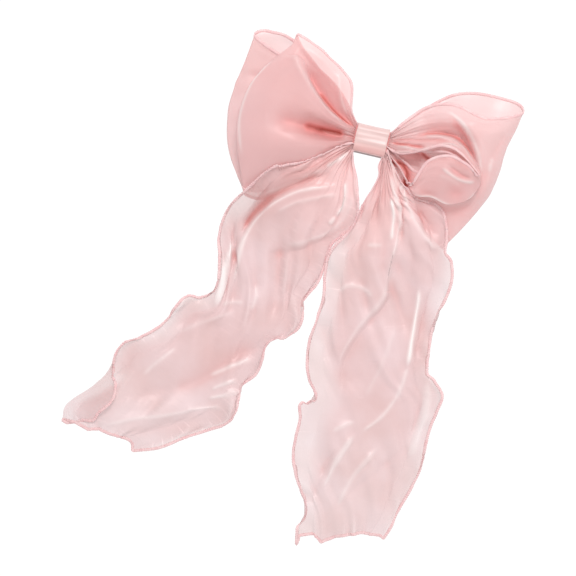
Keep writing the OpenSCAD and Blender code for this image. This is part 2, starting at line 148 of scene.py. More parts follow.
RIGHT_TAIL_INNER = [
    (10.9, -6.8, 16.9), (8.5, -14, 17), (10, -21, 18), (8, -30, 18), (5, -39, 16), (3, -48, 14),
    (0, -60, 10), (-7, -71, 8), (-10, -80, 6), (-9, -92, 3), (-7, -104, 4), (-8, -120, 6), (-9.5, -135, 5),
    (-8, -149, 4), (-4, -160, 4), (2, -168, 5), (2, -173, 4), (-1, -176.5, 3.5), (-6, -178, 4),
    (-4, -187, 4), (-4, -200, 3), (-3, -211, 3), (1, -222, 5), (7, -232, 5), (12, -240, 3), (13, -249, 3),
    (10.5, -258, 4), (12, -267, 2)]
RIGHT_TAIL_INSIDE = [
    (10.9, -6.2, 17.2), (11, -16, 17.5), (12, -30, 17.5), (11, -44, 15), (8, -60, 10), (1, -76, 7),
    (2, -96, 4), (1, -118, 4), (0, -138, 4), (4, -156, 4), (9, -172, 4), (7, -190, 4), (6, -208, 3),
    (11, -226, 3.5), (18, -244, 3), (20, -262, 2)]
RIGHT_TAIL_TURN = [
    (10.9, -3.8, 18), (17, -15, 19.5), (28, -29, 18), (40, -35, 15), (50, -45, 13), (54, -59, 11),
    (60, -75, 8), (60, -98, 4), (60, -124, 4), (63, -143, 4), (72, -158, 4), (70, -178, 3), (70, -200, 3),
    (65, -222, 2.4), (62, -238, 2.4), (58, -250, 2)]
RIGHT_TAIL_OUTER = [
    (10.9, -3.4, 18.4), (20, -16, 20), (30, -26, 18), (38, -30, 16), (50, -30.5, 15), (56, -34, 14),
    (60, -41, 13), (62.5, -51, 12), (63.5, -59, 11), (69, -65, 10), (72, -76, 8), (71, -88, 6), (68, -98, 4),
    (67, -110, 4), (68, -124, 5), (70, -138, 5), (76, -143, 7), (83, -151, 8), (82, -162, 6), (80, -176, 4),
    (80, -200, 5), (77, -215, 4), (72, -232, 3), (70, -242, 4), (67, -250, 3)]
# Points of the cut ends between the two hems, as (place across, how far it sticks out)
LEFT_CUT = [(0, 0), (0.3, 0), (0.45, 2.5), (0.55, 0.5), (0.7, 2), (0.85, 2.5), (1, 0)]
RIGHT_CUT = [(0, 0), (0.05, -4), (0.18, -3), (0.3, 3), (0.45, 0), (0.7, -1.5), (0.9, 0.5), (1, 0)]

# ---------------------------------------------------------------- fold lines and painted shade and highlight strokes
# Each fold: height of the crest (or depth of the valley), reach to its left and to its right as it runs,
# how strong a painted highlight it gets (below zero: how deep a painted shade it gets), and the points it
# runs through.
# A flat stroke only paints shade or a highlight on the cloth
FLAT = 0.01  # height of a stroke that only colours the cloth
LEFT_FRONT_FOLDS = [
    (-2.0, 0.6, 0.6, -0.55, [(-6, 0), (-14, 0), (-22, -0.1), (-29, -0.2)]),
    (-4.0, 1.8, 2.1, -1.3, [(-16, 0.1), (-23, 0.1), (-30, 0), (-38, -0.1)]),
    (-4.0, 4.0, 3.6, -0.9, [(-15, 0.2), (-27, 0.2), (-39, 0.1), (-51, 0)]),
    (-3.0, 5.0, 5.6, -0.5, [(-18, -0.2), (-34, -0.3), (-46, -0.4), (-57, -0.5), (-68, -0.6)]),
    (1.6, 7.0, 2.5, 0, [(-22, -3), (-32, -5), (-42, -6.5), (-54, -8), (-64, -9)]),
    (1.2, 2.5, 7.0, 0, [(-24, 3), (-34, 5), (-44, 8), (-54, 10)]),
    (2.2, 4.0, 1.2, 0.35, [(-14, 5), (-20, 7), (-30, 12), (-38, 18), (-45, 24), (-52, 31), (-59, 40),
        (-60, 50)]),
    (FLAT, 0.8, 1.9, -0.95, [(-10, 5.6), (-17, 8), (-24, 11.4), (-30, 15.2), (-36, 19.8), (-43, 26)]),
    (-4.5, 1.0, 3.4, -0.5, [(-10, 5.5), (-19, 8.6), (-28, 13.4), (-36, 19.6), (-43, 26), (-50, 33.5),
        (-54, 38)]),
    (1.4, 2.5, 1.5, 0.3, [(-17, 11), (-23, 18), (-27, 26), (-29, 34), (-31, 41)]),
    (FLAT, 8.0, 8.0, -0.34, [(-16, 10), (-26, 28), (-42, 43), (-60, 53)])]
# A painted highlight along the side fold of the left front loop
LEFT_FRONT_EDGE_HIGHLIGHT = [
    (FLAT, 0.8, 0.8, 0.8, [(-70, 41), (-77.5, 31), (-82.5, 22), (-85.2, 13), (-86.2, 3), (-86, -6),
        (-84, -15), (-81, -24), (-77, -33)])]
LEFT_REAR_FOLDS = [
    (-1.2, 5, 5, 0, [(-30, 12), (-50, 22), (-70, 26), (-90, 24)]),
    (1.0, 4, 4, 0.1, [(-70, -30), (-80, -20), (-88, -5)])]
RIGHT_REAR_FOLDS = [
    (2.6, 8.0, 1.6, 0.7, [(42, 29), (48, 27.5), (53, 24.5), (58, 20.5), (62.5, 15.5), (66.5, 10),
        (70.5, 3.5), (74, -6)]),
    (-2.6, 2.0, 6.0, -0.5, [(46, 22.5), (52, 19.5), (57, 15), (62, 9), (67, 1.5), (70.5, -7)]),
    (FLAT, 0.8, 6.0, -0.6, [(40, 27), (46, 26.3), (51, 23.8), (56, 19.8), (60.5, 15), (64.5, 9.5), (68.5, 3),
        (72, -6)]),
    (FLAT, 0.9, 0.9, 1.0, [(40, 29.4), (46, 28.6), (52, 25.4), (57, 21.6), (62.2, 16), (66.3, 10.4),
        (70.3, 3.8), (73, -2), (74.5, -9)]),
    (FLAT, 5.0, 5.0, -0.5, [(14, -5), (22, -6), (30, -3), (38, -1), (46, 1)]),
    (FLAT, 1.4, 2.4, -1.0, [(30, 1), (35, -0.4), (39, -2.2), (44, -0.6)]),
    (FLAT, 1.6, 2.4, -1.5, [(13, -8), (19, -9.4), (24, -10), (30, -11.5)]),
    (FLAT, 2.0, 2.4, -1.3, [(30, -10), (29, -16), (28.5, -22), (29, -30)]),
    (-0.5, 5.0, 5.0, -0.5, [(28, 10), (37, 15), (46, 17), (54, 15), (60, 10), (66, 3)]),
    (-0.3, 1.4, 1.4, -0.9, [(26, 8), (35, 13), (44, 15.3), (52, 15), (59, 11.5), (65, 5), (70, -2)]),
    (1.0, 2.0, 2.0, 0.5, [(79, 8), (78.5, 2), (79, -4)]),
    (-1.2, 3.0, 3.0, 0, [(84, 26), (80, 12), (77, -2), (77, -14)]),
    (FLAT, 3.0, 3.0, -0.3, [(75, 2), (76.5, -8), (76, -18), (72, -26)]),
    (1.2, 4.0, 4.0, 0.1, [(12, 9), (22, 17), (32, 23)]),
    (-0.6, 2.5, 9.0, -0.45, [(36, -29.5), (46, -28.5), (54, -30.5), (62, -30.5), (69, -27.5), (74, -21),
        (76.5, -12)]),
    (-1.6, 4.0, 3.0, 0, [(30, -20), (48, -34), (60, -46)])]
RIGHT_FRONT_TOP_FOLDS = [
    (-2.0, 0.9, 0.8, -0.85, [(11.5, 1.6), (20, 2.3), (29, 2.8), (36, 3.4)]),
    (1.2, 1.0, 1.4, 0.5, [(12, 0.2), (22, 0.8), (31, 1), (39, 4.5), (47, 8), (55, 8.5), (62, 5)]),
    (-1.6, 1.6, 1.0, -0.8, [(26, 8.5), (34, 11.8), (42, 14.2), (50, 14.6), (57, 12.2), (63, 7.5), (69, 0)]),
    (1.0, 0.8, 1.8, 0.45, [(28, 8.4), (36, 10.9), (44, 12.4), (51, 12.2), (58, 9.4), (64, 4.5), (70, -3)]),
    (-0.8, 1.0, 1.0, -0.35, [(12, 3.6), (22, 5.6), (32, 7.4), (42, 9.6), (52, 10)]),
    (0.7, 0.9, 0.9, 0.3, [(12, 5.2), (20, 7.4), (27, 9.4)]),
    (-1.0, 1.2, 2.0, 0, [(14, -3), (22, -3.6), (30, -2.4), (36, 1)]),
    (1.0, 1.0, 1.0, 0.5, [(16, -3.6), (22, -2.6), (28, -1)]),
    (FLAT, 1.0, 5.0, -0.5, [(32, 0), (38, -1), (45, 3), (52, 4), (58, 2), (64, -2), (70, -7)]),
    (FLAT, 1.2, 2.2, -1.0, [(31, 0.6), (35, -0.6), (39, -2.4), (43, -0.6)]),
    (FLAT, 5.0, 5.0, -0.42, [(15, -7), (24, -8), (32, -8)]),
    (FLAT, 1.6, 2.2, -1.5, [(15, -8.4), (20, -9.4), (25, -10), (30, -11.5)])]
RIGHT_FRONT_PETAL_FOLDS = [
    (FLAT, 0.9, 0.9, 0.8, [(31, -26), (38, -28), (46, -26.8), (53, -28.6), (60, -29.4), (67, -26.8),
        (71.5, -21), (73.5, -13)]),
    (1.2, 1.0, 3.0, 0.8, [(73, -9.5), (68, -12.5), (61, -12.6), (54, -10.5), (46, -7)]),
    (-1.6, 3.0, 1.2, -0.42, [(70, -8.5), (64, -9.5), (57, -7.5), (50, -4.5)]),
    (-1.5, 5.0, 5.0, -0.3, [(70, -18), (61, -21), (52, -19)]),
    (0.8, 4.0, 4.0, 0.2, [(64, -16), (56, -14), (46, -12)]),
    (-1.0, 3.0, 3.0, -0.3, [(34, -25), (44, -25.5), (52, -27)]),
    (FLAT, 1.2, 2.2, -1.0, [(31, 0.6), (35, -0.6), (39, -2.4), (43, -0.6)]),
    (FLAT, 5.0, 1.0, -0.5, [(70, -7), (64, -2), (58, 2), (52, 4), (45, 3), (38, -1), (32, 0)]),
    (FLAT, 5.0, 5.0, -0.42, [(15, -7), (24, -8), (32, -8)]),
    (FLAT, 1.6, 2.2, -1.0, [(15, -8.4), (20, -9.4), (25, -10), (30, -11.5)]),
    (-3.5, 1.6, 2.6, -0.95, [(29.5, -27), (28.5, -20), (27, -14), (22, -9.5), (17, -8)])]
LEFT_TAIL_FOLDS = [
    (FLAT, 4.0, 4.0, -0.5, [(-14, -12), (-24, -20), (-35, -27.5), (-46, -34), (-56, -40)]),
    (FLAT, 3.0, 7.0, -1.3, [(-36, -147), (-50, -154), (-60, -165), (-75, -179), (-95, -191)]),
    (FLAT, 4.0, 4.0, -0.6, [(-62, -204), (-90, -213), (-118, -223)]),
    (0.8, 1.0, 1.6, 0.5, [(-46, -178), (-56, -183), (-67, -188)]),
    (0.8, 1.0, 1.6, 0.45, [(-49, -171), (-58, -176), (-66, -182)]),
    (0.8, 1.0, 1.6, 0.35, [(-54, -190), (-66, -194), (-80, -199)]),
    (2.6, 1.8, 5.0, 0.6, [(-12, -8), (-18, -17), (-26, -24)]),
    (2.2, 2.5, 6.0, 0.25, [(-22, -21), (-28, -26), (-38, -34), (-50, -43), (-62, -52)]),
    (-6.0, 3.5, 4.0, 0, [(-18, -25), (-30, -31), (-42, -38.5), (-52, -47), (-60, -57), (-66, -68),
        (-69, -82)]),
    (3.6, 9.0, 1.6, 0.6, [(-9, -31), (-20, -35), (-30, -38.5), (-40, -43), (-50, -50.5), (-58, -59),
        (-64, -70), (-66.5, -85), (-67, -100), (-66.5, -120)]),
    (1.0, 3.0, 1.2, 0.25, [(-10, -37), (-22, -42), (-35, -48), (-45, -55), (-51, -62)]),
    (1.8, 1.3, 1.3, 0.9, [(-10.5, -28), (-8.8, -38), (-8.5, -46), (-11, -54)]),
    (1.2, 1.2, 1.2, 0.5, [(-11, -52), (-13, -56), (-15, -59)]),
    (1.5, 2.6, 6.0, 0.25, [(-4, -32), (-4, -46), (-7, -56), (-14, -64), (-22, -70), (-34, -76), (-44, -80)]),
    (-1.8, 5.0, 3.0, -0.35, [(-6, -60), (-14, -68), (-24, -75.5), (-34, -81), (-44, -85), (-52, -86)]),
    (FLAT, 9.0, 3.0, -0.5, [(-12, -20), (-24, -27), (-36, -35), (-48, -43), (-57, -53), (-63, -64),
        (-66, -76)]),
    (2.2, 1.6, 1.6, 0.95, [(-76, -79), (-73, -88), (-74, -100), (-73.5, -115), (-75, -130)]),
    (-1.5, 2.0, 2.0, 0, [(-72, -72), (-70, -90), (-70.5, -110), (-73, -124)]),
    (1.6, 4.0, 4.0, 0.3, [(-52, -106), (-50, -116), (-52, -126)]),
    (1.0, 2.5, 2.5, 0.3, [(-72, -126), (-64, -122), (-56, -121)]),
    (-3.6, 5.0, 8.0, 0, [(-34, -144), (-50, -152), (-60, -163), (-75, -177), (-95, -189), (-125, -202)]),
    (1.8, 5.0, 2.2, 0.5, [(-42, -153), (-48, -158), (-58, -165), (-70, -174)]),
    (1.5, 6.0, 3.0, 0.25, [(-132, -222), (-112, -212), (-90, -204), (-66, -194)]),
    (-1.2, 3.0, 4.0, 0, [(-128, -224), (-106, -219), (-84, -208), (-60, -200)]),
    (-1.4, 5.0, 4.0, 0, [(-78, -132), (-92, -141), (-106, -151)]),
    (1.6, 6.0, 5.0, 0.15, [(-58, -126), (-78, -138), (-98, -152)]),
    (1.8, 9.0, 9.0, 0.3, [(-92, -158), (-104, -172), (-112, -184)]),
    (-1.4, 5.0, 5.0, 0, [(-26, -95), (-33, -112), (-42, -128)])]
RIGHT_TAIL_FOLDS = [
    (2.2, 1.8, 4.0, 0.5, [(12, -3), (16, -11), (21, -20), (24, -29)]),
    (2.2, 1.6, 4.0, 1.0, [(20, -31), (23, -38), (26, -47), (28, -62)]),
    (-2.4, 1.6, 1.4, 0, [(14, -6), (20, -17), (26, -30), (31, -42), (32.5, -52), (31.5, -64)]),
    (1.6, 1.2, 1.5, 0.5, [(14, -12), (18, -20), (24, -32), (30, -44), (31.5, -56), (31, -70), (31, -92)]),
    (3.6, 3.0, 5.0, 0.4, [(25, -12), (27, -21), (30, -31), (36, -40), (44, -48), (51, -54.5), (59, -60)]),
    (-4.2, 6.0, 1.4, 0, [(33, -28), (38, -33), (42, -39), (46, -46), (51, -52), (56, -58)]),
    (-2.4, 6.0, 5.0, 0, [(35, -50), (40, -58), (44, -70), (44, -84)]),
    (1.8, 2.2, 6.0, 0.2, [(29, -52), (31, -74), (32, -90), (28, -104), (20, -119), (14, -137), (11, -153)]),
    (-1.8, 6.0, 1.8, -0.3, [(36, -88), (32, -103), (25, -117), (19, -133), (16, -150), (20, -168)]),
    (1.2, 2.0, 6.0, 0.3, [(1, -102), (5, -96), (12, -93.5), (20, -95.5), (26, -100)]),
    (2.2, 2.0, 3.2, 1.0, [(51, -82), (54, -95), (55, -110), (56, -125), (57, -142)]),
    (1.2, 2.0, 3.0, 0.4, [(57, -136), (56, -150), (53, -164)]),
    (-1.4, 3.0, 2.0, 0, [(59, -85), (60, -108), (61, -132)]),
    (2.0, 5.0, 1.6, 0.6, [(70, -142), (73, -152), (74.5, -166), (73, -182), (71, -198)]),
    (-1.6, 1.6, 6.0, 0, [(68, -150), (71, -168), (69, -190)]),
    (1.8, 1.8, 4.0, 0.5, [(34, -186), (29, -198), (24, -213), (21, -230)]),
    (1.8, 6.0, 1.8, 0.3, [(52, -190), (43, -206), (36, -222), (32, -242)]),
    (-2.2, 2.0, 4.0, 0, [(24, -200), (18, -218), (15, -242)]),
    (-1.4, 4.0, 2.0, 0, [(50, -200), (40, -214), (32, -232)]),
    (-1.5, 6.0, 6.0, 0, [(62, -196), (62, -215), (58, -236)]),
    (1.8, 7.0, 7.0, 0.35, [(12, -66), (24, -64)]),
    (-1.6, 5.0, 5.0, 0, [(14, -34), (13, -48), (8, -58)]),
    (-1.2, 4.0, 3.0, 0, [(-3, -118), (0, -136), (4, -152)]),
    (1.0, 1.5, 3.0, 0.3, [(18, -190.5), (25, -184), (32, -180)]),
    (1.2, 2.0, 3.0, 0.45, [(55, -156), (51, -167), (45, -177), (36, -187)]),
    (-1.8, 5.0, 4.0, -0.25, [(71, -185), (54, -208), (38, -228), (29, -246)]),
    (FLAT, 8.0, 8.0, -0.25, [(68, -206), (62, -228), (56, -246)]),
    (1.4, 5.0, 5.0, 0.15, [(44, -110), (40, -140), (33, -168)]),
    (FLAT, 1.3, 1.3, 1.0, [(11.5, -3), (16, -9), (21, -15.5), (25, -23), (27, -30)]),
    (FLAT, 8.0, 8.0, -0.5, [(12, -8), (15, -24), (15, -38), (12, -52), (8, -64)]),
    (FLAT, 4.0, 4.0, -0.3, [(40, -60), (43, -68), (44, -80)]),
    (FLAT, 5.0, 5.0, -0.22, [(48, -36), (54, -44), (57, -54)])]


# ---------------------------------------------------------------- curves and grids
def smooth_step(low, high, value):
    t = np.clip((value - low) / (high - low), 0, 1)
    return t * t * (3 - 2 * t)


def spline(points, places):
    """Catmull-Rom curve through the first axis of points, at places from 0 to 1."""
    points = np.asarray(points, float)
    last = len(points) - 1
    span = np.clip(np.floor(places * last).astype(int), 0, last - 1)
    t = (places * last - span).reshape((-1,) + (1,) * (points.ndim - 1))
    a, b = points[np.maximum(span - 1, 0)], points[span]
    c, d = points[span + 1], points[np.minimum(span + 2, last)]
    return 0.5 * (2 * b + (c - a) * t + (2 * a - 5 * b + 4 * c - d) * t ** 2
                  + (3 * b - a - 3 * c + d) * t ** 3)


def reach_along(path):
    """Distance from the start of a path to each of its points."""
    return np.concatenate([[0], np.cumsum(np.linalg.norm(np.diff(path, axis=0), axis=1))])


def resample(path, places, reach):
    """Points of a path at the given distances along it."""
    return np.stack([np.interp(places, reach, path[:, axis]) for axis in range(3)], axis=1)


def even_rows(grid, columns):
    """The same rows with their points an even distance apart along each row."""
    rows = []
    for row in grid:
        reach = reach_along(row)
        rows.append(resample(row, np.linspace(0, reach[-1], columns), reach))
    return np.array(rows)


def loft(rails, rows, columns):
    """Grid of points over the rails, in mm: rows across the ribbon, columns along it."""
    rails = np.asarray(rails, float)
    dense = spline(rails.transpose(1, 0, 2), np.linspace(0, 1, columns * 3)).transpose(1, 0, 2)
    across = spline(dense, np.linspace(0, 1, rows))
    return even_rows(across, columns)


def tail_loft(rails, places, cut, rows, columns):
    """Grid over a tail's rails, which lie at the given places across the cloth, with its cut end shaped."""
    dense = even_rows([spline(rail, np.linspace(0, 1, columns * 3)) for rail in rails], columns * 2)
    across = np.linspace(0, 1, rows)
    even = np.interp(across, places, np.linspace(0, 1, len(rails)))
    grid = even_rows(spline(dense, even), columns)
    ahead = grid[:, -1] - grid[:, -12]
    ahead /= np.linalg.norm(ahead, axis=1, keepdims=True)
    stick_out = np.interp(across, *zip(*cut))
    near_end = smooth_step(0.9, 1, np.linspace(0, 1, columns))
    return grid + ahead[:, None, :] * (stick_out[:, None] * near_end)[..., None]


def normals(grid):
    """Unit normal at each point of a grid."""
    n = np.cross(np.gradient(grid, axis=1), np.gradient(grid, axis=0))
    return n / np.maximum(np.linalg.norm(n, axis=2, keepdims=True), 1e-9)


def soft_noise(shape, cells, rng):
    """Smooth noise from -1 to 1 over a grid; cells is the size of its features in steps across and along."""
    coarse = [max(int(size / cell) + 3, 4) for size, cell in zip(shape, cells)]
    field = rng.uniform(-1, 1, coarse)
    rows = spline(field, np.linspace(0, 1, shape[0]))
    return spline(rows.T, np.linspace(0, 1, shape[1])).T


def slanted_noise(shape, cells, slant, rng):
    """Smooth noise whose features run across the grid as they run along it, by slant times its rows."""
    shift = np.rint(np.linspace(0, abs(slant) * shape[0], shape[1])).astype(int)
    if slant < 0:
        shift = shift[::-1]
    field = soft_noise((shape[0] + shift.max(), shape[1]), cells, rng)
    return field[np.arange(shape[0])[:, None] + shift[None, :], np.arange(shape[1])[None, :]]


def blur(field, reach):
    """Mean over a square of 2 * reach + 1 grid steps, edges repeated."""
    for axis in (0, 1):
        pad = [(0, 0)] * 3
        pad[axis] = (reach + 1, reach)
        total = np.cumsum(np.pad(field, pad, mode="edge"), axis=axis)
        high = np.take(total, range(2 * reach + 1, total.shape[axis]), axis=axis)
        low = np.take(total, range(0, total.shape[axis] - 2 * reach - 1), axis=axis)
        field = (high - low) / (2 * reach + 1)
    return field


# ---------------------------------------------------------------- folds
CURVE_POINTS = 220
FAR_REACH = 5.0
CREST_ROUND = 0.25
TAPER_SHARE = 0.2
TAPER_WIDTHS = 2.5


def fold_profile(grid, path, left, right):
    """How near each point of a grid is to a fold line seen from above, from 0 to 1 on its crest."""
    curve = spline(np.array(path, float), np.linspace(0, 1, CURVE_POINTS))
    ahead = np.gradient(curve, axis=0)
    margin = FAR_REACH * max(left, right)
    low, high = curve.min(axis=0) - margin, curve.max(axis=0) + margin
    close = np.all((grid[..., :2] > low) & (grid[..., :2] < high), axis=-1)
    flat = grid[close][:, :2]
    profile = np.zeros(grid.shape[:2])
    if len(flat) == 0:
        return profile
    distance = np.hypot(flat[:, :1] - curve[:, 0], flat[:, 1:] - curve[:, 1])
    nearest = np.argmin(distance, axis=1)
    gap = flat - curve[nearest]
    turn = ahead[nearest, 0] * gap[:, 1] - ahead[nearest, 1] * gap[:, 0]
    away = distance[np.arange(len(flat)), nearest] / np.where(turn > 0, left, right)
    reach = reach_along(curve)
    ends = min(max(TAPER_SHARE * reach[-1], TAPER_WIDTHS * max(left, right)), 0.5 * reach[-1])
    taper = smooth_step(0, ends, np.minimum(reach, reach[-1] - reach))[nearest]
    profile[close] = taper * np.exp(CREST_ROUND - np.sqrt(away ** 2 + CREST_ROUND ** 2))
    return profile


# Depth in mm at which a valley gets its full painted shade
FULL_SHADE_DEPTH = 8.0
GLINT_REACH = 1.3
GLINT_FROM = 0.15
PART_SOFTNESS = 0.03
WHOLE = (0.0, 1.0)
FRONT_HALF = (0.0, 0.5)
BACK_HALF = (0.5, 1.0)


def fold(grid, tones, folds, part):
    """Raises and lowers the part of a grid between two places along it; tones collects the painted shade of
    its hollows and the painted highlights of its crests.
    """
    columns = grid.shape[1]
    place = np.linspace(0, 1, columns)
    inside = np.ones(columns)
    if part[0] > 0:
        inside *= smooth_step(part[0] - PART_SOFTNESS, part[0] + PART_SOFTNESS, place)
    if part[1] < 1:
        inside *= 1 - smooth_step(part[1] - PART_SOFTNESS, part[1] + PART_SOFTNESS, place)
    for height, left, right, painted_light, path in folds:
        crest = fold_profile(grid, path, left, right) * inside
        grid[..., 2] += height * crest
        # Painted light: below zero a stroke paints shade, a valley otherwise gets painted shade by its depth,
        # and a crest gets a painted highlight along a narrow line
        if painted_light < 0:
            tones[0] = np.clip(-painted_light * crest, tones[0], 1)
        elif height < 0:
            tones[0] = np.maximum(tones[0], -height / FULL_SHADE_DEPTH * crest)
        else:
            thin = fold_profile(grid, path, min(left, GLINT_REACH), min(right, GLINT_REACH)) * inside
            tones[1] = np.maximum(tones[1], painted_light * smooth_step(GLINT_FROM, 1.0, thin))


# ---------------------------------------------------------------- cloth
# Links of the cloth: steps across, steps along, and how firm the link is
LINKS = [(1, 0, 1.0), (0, 1, 1.0), (1, 1, 0.5), (1, -1, 0.5), (3, 0, 0.35), (0, 3, 0.35)]
PUSH = 0.45
EASE_EVERY, EASE_SHARE, EASE_REACH = 4, 0.5, 8


def settle(grid, slack, hold, rounds, floor):
    """Relaxes a ribbon like cloth: every link takes its rest length times the slack, the broad shape is held.

    slack is a grid of factors from 1 up, hold a grid from 0, free, to 1, fixed, and floor the lowest height.
    """
    start = grid.copy()
    held = hold[..., None]
    pairs = []
    for down, right, firm in LINKS:
        r0 = slice(0, grid.shape[0] - down)
        r1 = slice(down, grid.shape[0])
        if right >= 0:
            c0, c1 = slice(0, grid.shape[1] - right), slice(right, grid.shape[1])
        else:
            c0, c1 = slice(-right, grid.shape[1]), slice(0, grid.shape[1] + right)
        rest = np.linalg.norm(start[r1, c1] - start[r0, c0], axis=2)
        rest = rest * (slack[r1, c1] + slack[r0, c0]) / 2
        pairs.append((r0, c0, r1, c1, rest, firm))
    for turn in range(rounds):
        push = np.zeros_like(grid)
        for r0, c0, r1, c1, rest, firm in pairs:
            gap = grid[r1, c1] - grid[r0, c0]
            length = np.linalg.norm(gap, axis=2)
            share = (0.5 * firm * (1 - rest / np.maximum(length, 1e-6)))[..., None] * gap
            push[r0, c0] += share
            push[r1, c1] -= share
        grid = grid + push * PUSH * (1 - held)
        if turn % EASE_EVERY == 0:
            grid = grid - EASE_SHARE * blur(grid - start, EASE_REACH)
        grid[..., 2] = np.maximum(grid[..., 2], floor)
    return grid


PLEATS = 8
PLEAT_REACH = 15
HEM_REACH = 8.0
REST_HEIGHT = 0.6
# Distances in mm from the knot: the gathers open from KNOT_REACH on and are free HOLD_REACH further out;
# the drawn wrinkles start at FREE_FROM and are full FREE_OVER further out
KNOT_REACH, HOLD_REACH = 12, 14
FREE_FROM, FREE_OVER = 14, 30
CLOTH_SLACK = 0.002


def finish_ribbon(base, seed, hem_slack, pleat, slant=0.0, drawn_height=0.5, rounds=60, end_hem=False):
    """A ribbon's finished grid in mm: pleats towards the knot, slack in its hems, then settled."""
    rng = np.random.default_rng(seed)
    rows, columns = base.shape[:2]
    across = np.linspace(0, 1, rows)[:, None] * np.ones((1, columns))
    reach = np.linalg.norm(base[..., :2], axis=2)
    gathered = np.exp(-np.maximum(reach - KNOT_REACH, 0) / PLEAT_REACH)
    swing = soft_noise((rows, columns), (40, 40), rng)
    waves = (np.sin(2 * math.pi * (PLEATS * across + 0.4 * swing))
             + 0.5 * np.sin(2 * math.pi * (2.3 * PLEATS * across + 0.5 * swing)))
    grid = base + normals(base) * (pleat * gathered * waves)[..., None]
    fan = np.linalg.norm(np.diff(base, axis=0), axis=2)
    still = np.zeros(columns)
    from_edge = np.minimum(np.cumsum(np.vstack([still, fan]), axis=0),
                           np.cumsum(np.vstack([still, fan[::-1]]), axis=0)[::-1])
    if end_hem:
        step = np.linalg.norm(np.diff(base, axis=1), axis=2)
        to_end = np.cumsum(np.hstack([np.zeros((rows, 1)), step[:, ::-1]]), axis=1)[:, ::-1]
        from_edge = np.minimum(from_edge, to_end)
    near_hem = np.exp(-(from_edge / HEM_REACH) ** 2)
    away = np.clip((reach - FREE_FROM) / FREE_OVER, 0, 1)
    slack = 1 + away * (hem_slack * near_hem + CLOTH_SLACK)
    stir = soft_noise((rows, columns), (12, 12), rng) * 0.4 + soft_noise((rows, columns), (26, 26), rng) * 0.7
    patchy = 0.65 + 0.5 * soft_noise((rows, columns), (35, 55), rng)
    drawn = drawn_height * patchy * (0.35 * slanted_noise((rows, columns), (7, 60), slant, rng)
                                     + 0.65 * slanted_noise((rows, columns), (15, 100), slant, rng))
    grid = grid + normals(base) * ((stir * (0.3 + 0.7 * near_hem) + drawn) * away)[..., None]
    hold = np.clip(1 - (reach - KNOT_REACH) / HOLD_REACH, 0, 1)
    return settle(grid, slack, hold, rounds, REST_HEIGHT)


WIDE_BLUR, NARROW_BLUR = 9, 2
HOLLOW_SHADE_TONE, CREST_HIGHLIGHT_TONE = 0.7, 0.4


def fold_tones(grid, base, tones):
    """Tones of each point from 0 to 1: painted shade in hollows, painted highlight on crests, how far down
    the tail, and how opaque (more opaque under the painted shade).
    """
    relief = (grid - base)[..., 2:]
    wide = (blur(relief, WIDE_BLUR) - relief)[..., 0]
    narrow = (blur(relief, NARROW_BLUR) - relief)[..., 0]
    # Painted shade where the cloth lies below its surroundings, painted highlight where it rises in a narrow
    # crest; the cloth is made more opaque under the painted shade
    hollow_shade = np.maximum(HOLLOW_SHADE_TONE * smooth_step(0.1, 3.0, wide), tones[0])
    crest = np.maximum(CREST_HIGHLIGHT_TONE * smooth_step(0.04, 0.5, -narrow), tones[1])
    soft = [blur(tone[..., None], 1)[..., 0] for tone in (hollow_shade, crest)]
    cover = tones[3] + (1 - tones[3]) * smooth_step(0.2, 0.9, soft[0])
    return np.stack([*soft, tones[2], cover], axis=-1)


# ---------------------------------------------------------------- meshes
def mesh_object(name, vertices, faces, material, smooth=True):
    mesh = bpy.data.meshes.new(name)
    mesh.from_pydata([tuple(v) for v in vertices], [], faces)
    mesh.update()
    piece = bpy.data.objects.new(name, mesh)
    bpy.context.scene.collection.objects.link(piece)
    mesh.materials.append(material)
    if smooth:
        mesh.polygons.foreach_set("use_smooth", [True] * len(mesh.polygons))
    return piece


def sheet_mesh(name, grid, tones, material):
    """One surface over a grid in mm from the knot; UV map in metres of a full ribbon, and the tones of its
    folds, painted shade and highlights among them, as a colour.
    """
    rows, columns = grid.shape[:2]
    points = grid.reshape(-1, 3) * MM + KNOT
    index = np.arange(rows * columns).reshape(rows, columns)
    faces = np.stack([index[:-1, :-1], index[:-1, 1:], index[1:, 1:], index[1:, :-1]], axis=-1).reshape(-1, 4)
    piece = mesh_object(name, points, faces.tolist(), material)
    along = reach_along(grid[rows // 2]) * MM
    across = np.linspace(0, RIBBON_WIDTH, rows)
    uv = piece.data.uv_layers.new(name="cloth")
    flat = np.stack(np.broadcast_arrays(along, across[:, None]), axis=-1).reshape(-1, 2)
    uv.data.foreach_set("uv", flat[faces.reshape(-1)].reshape(-1))
    folds = piece.data.color_attributes.new(name="folds", type="FLOAT_COLOR", domain="POINT")
    folds.data.foreach_set("color", tones.reshape(-1))
    return piece


def beside(path, sideways):
    """Two unit directions across a path, the first of them towards the direction given at each point."""
    ahead = np.gradient(path, axis=0)
    ahead /= np.maximum(np.linalg.norm(ahead, axis=1, keepdims=True), 1e-12)
    out = sideways - ahead * np.sum(sideways * ahead, axis=1, keepdims=True)
    out /= np.maximum(np.linalg.norm(out, axis=1, keepdims=True), 1e-12)
    return out, np.cross(ahead, out)


def close_tube(name, rings, material):
    """A closed tube over rings of points, with flat ends."""
    count, sides = rings.shape[:2]
    index = np.arange(count * sides).reshape(count, sides)
    after = np.roll(index, -1, axis=1)
    faces = np.stack([index[:-1], after[:-1], after[1:], index[1:]], axis=-1).reshape(-1, 4).tolist()
    faces += [index[0].tolist()[::-1], index[-1].tolist()]
    return mesh_object(name, rings.reshape(-1, 3), faces, material)


HEM_WIDE = 1.0
HEM_THICK = 0.45
HEM_SIDES = 8
STITCH_STEPS = 5
STITCH = 1.7
STITCH_SWELL = 0.08


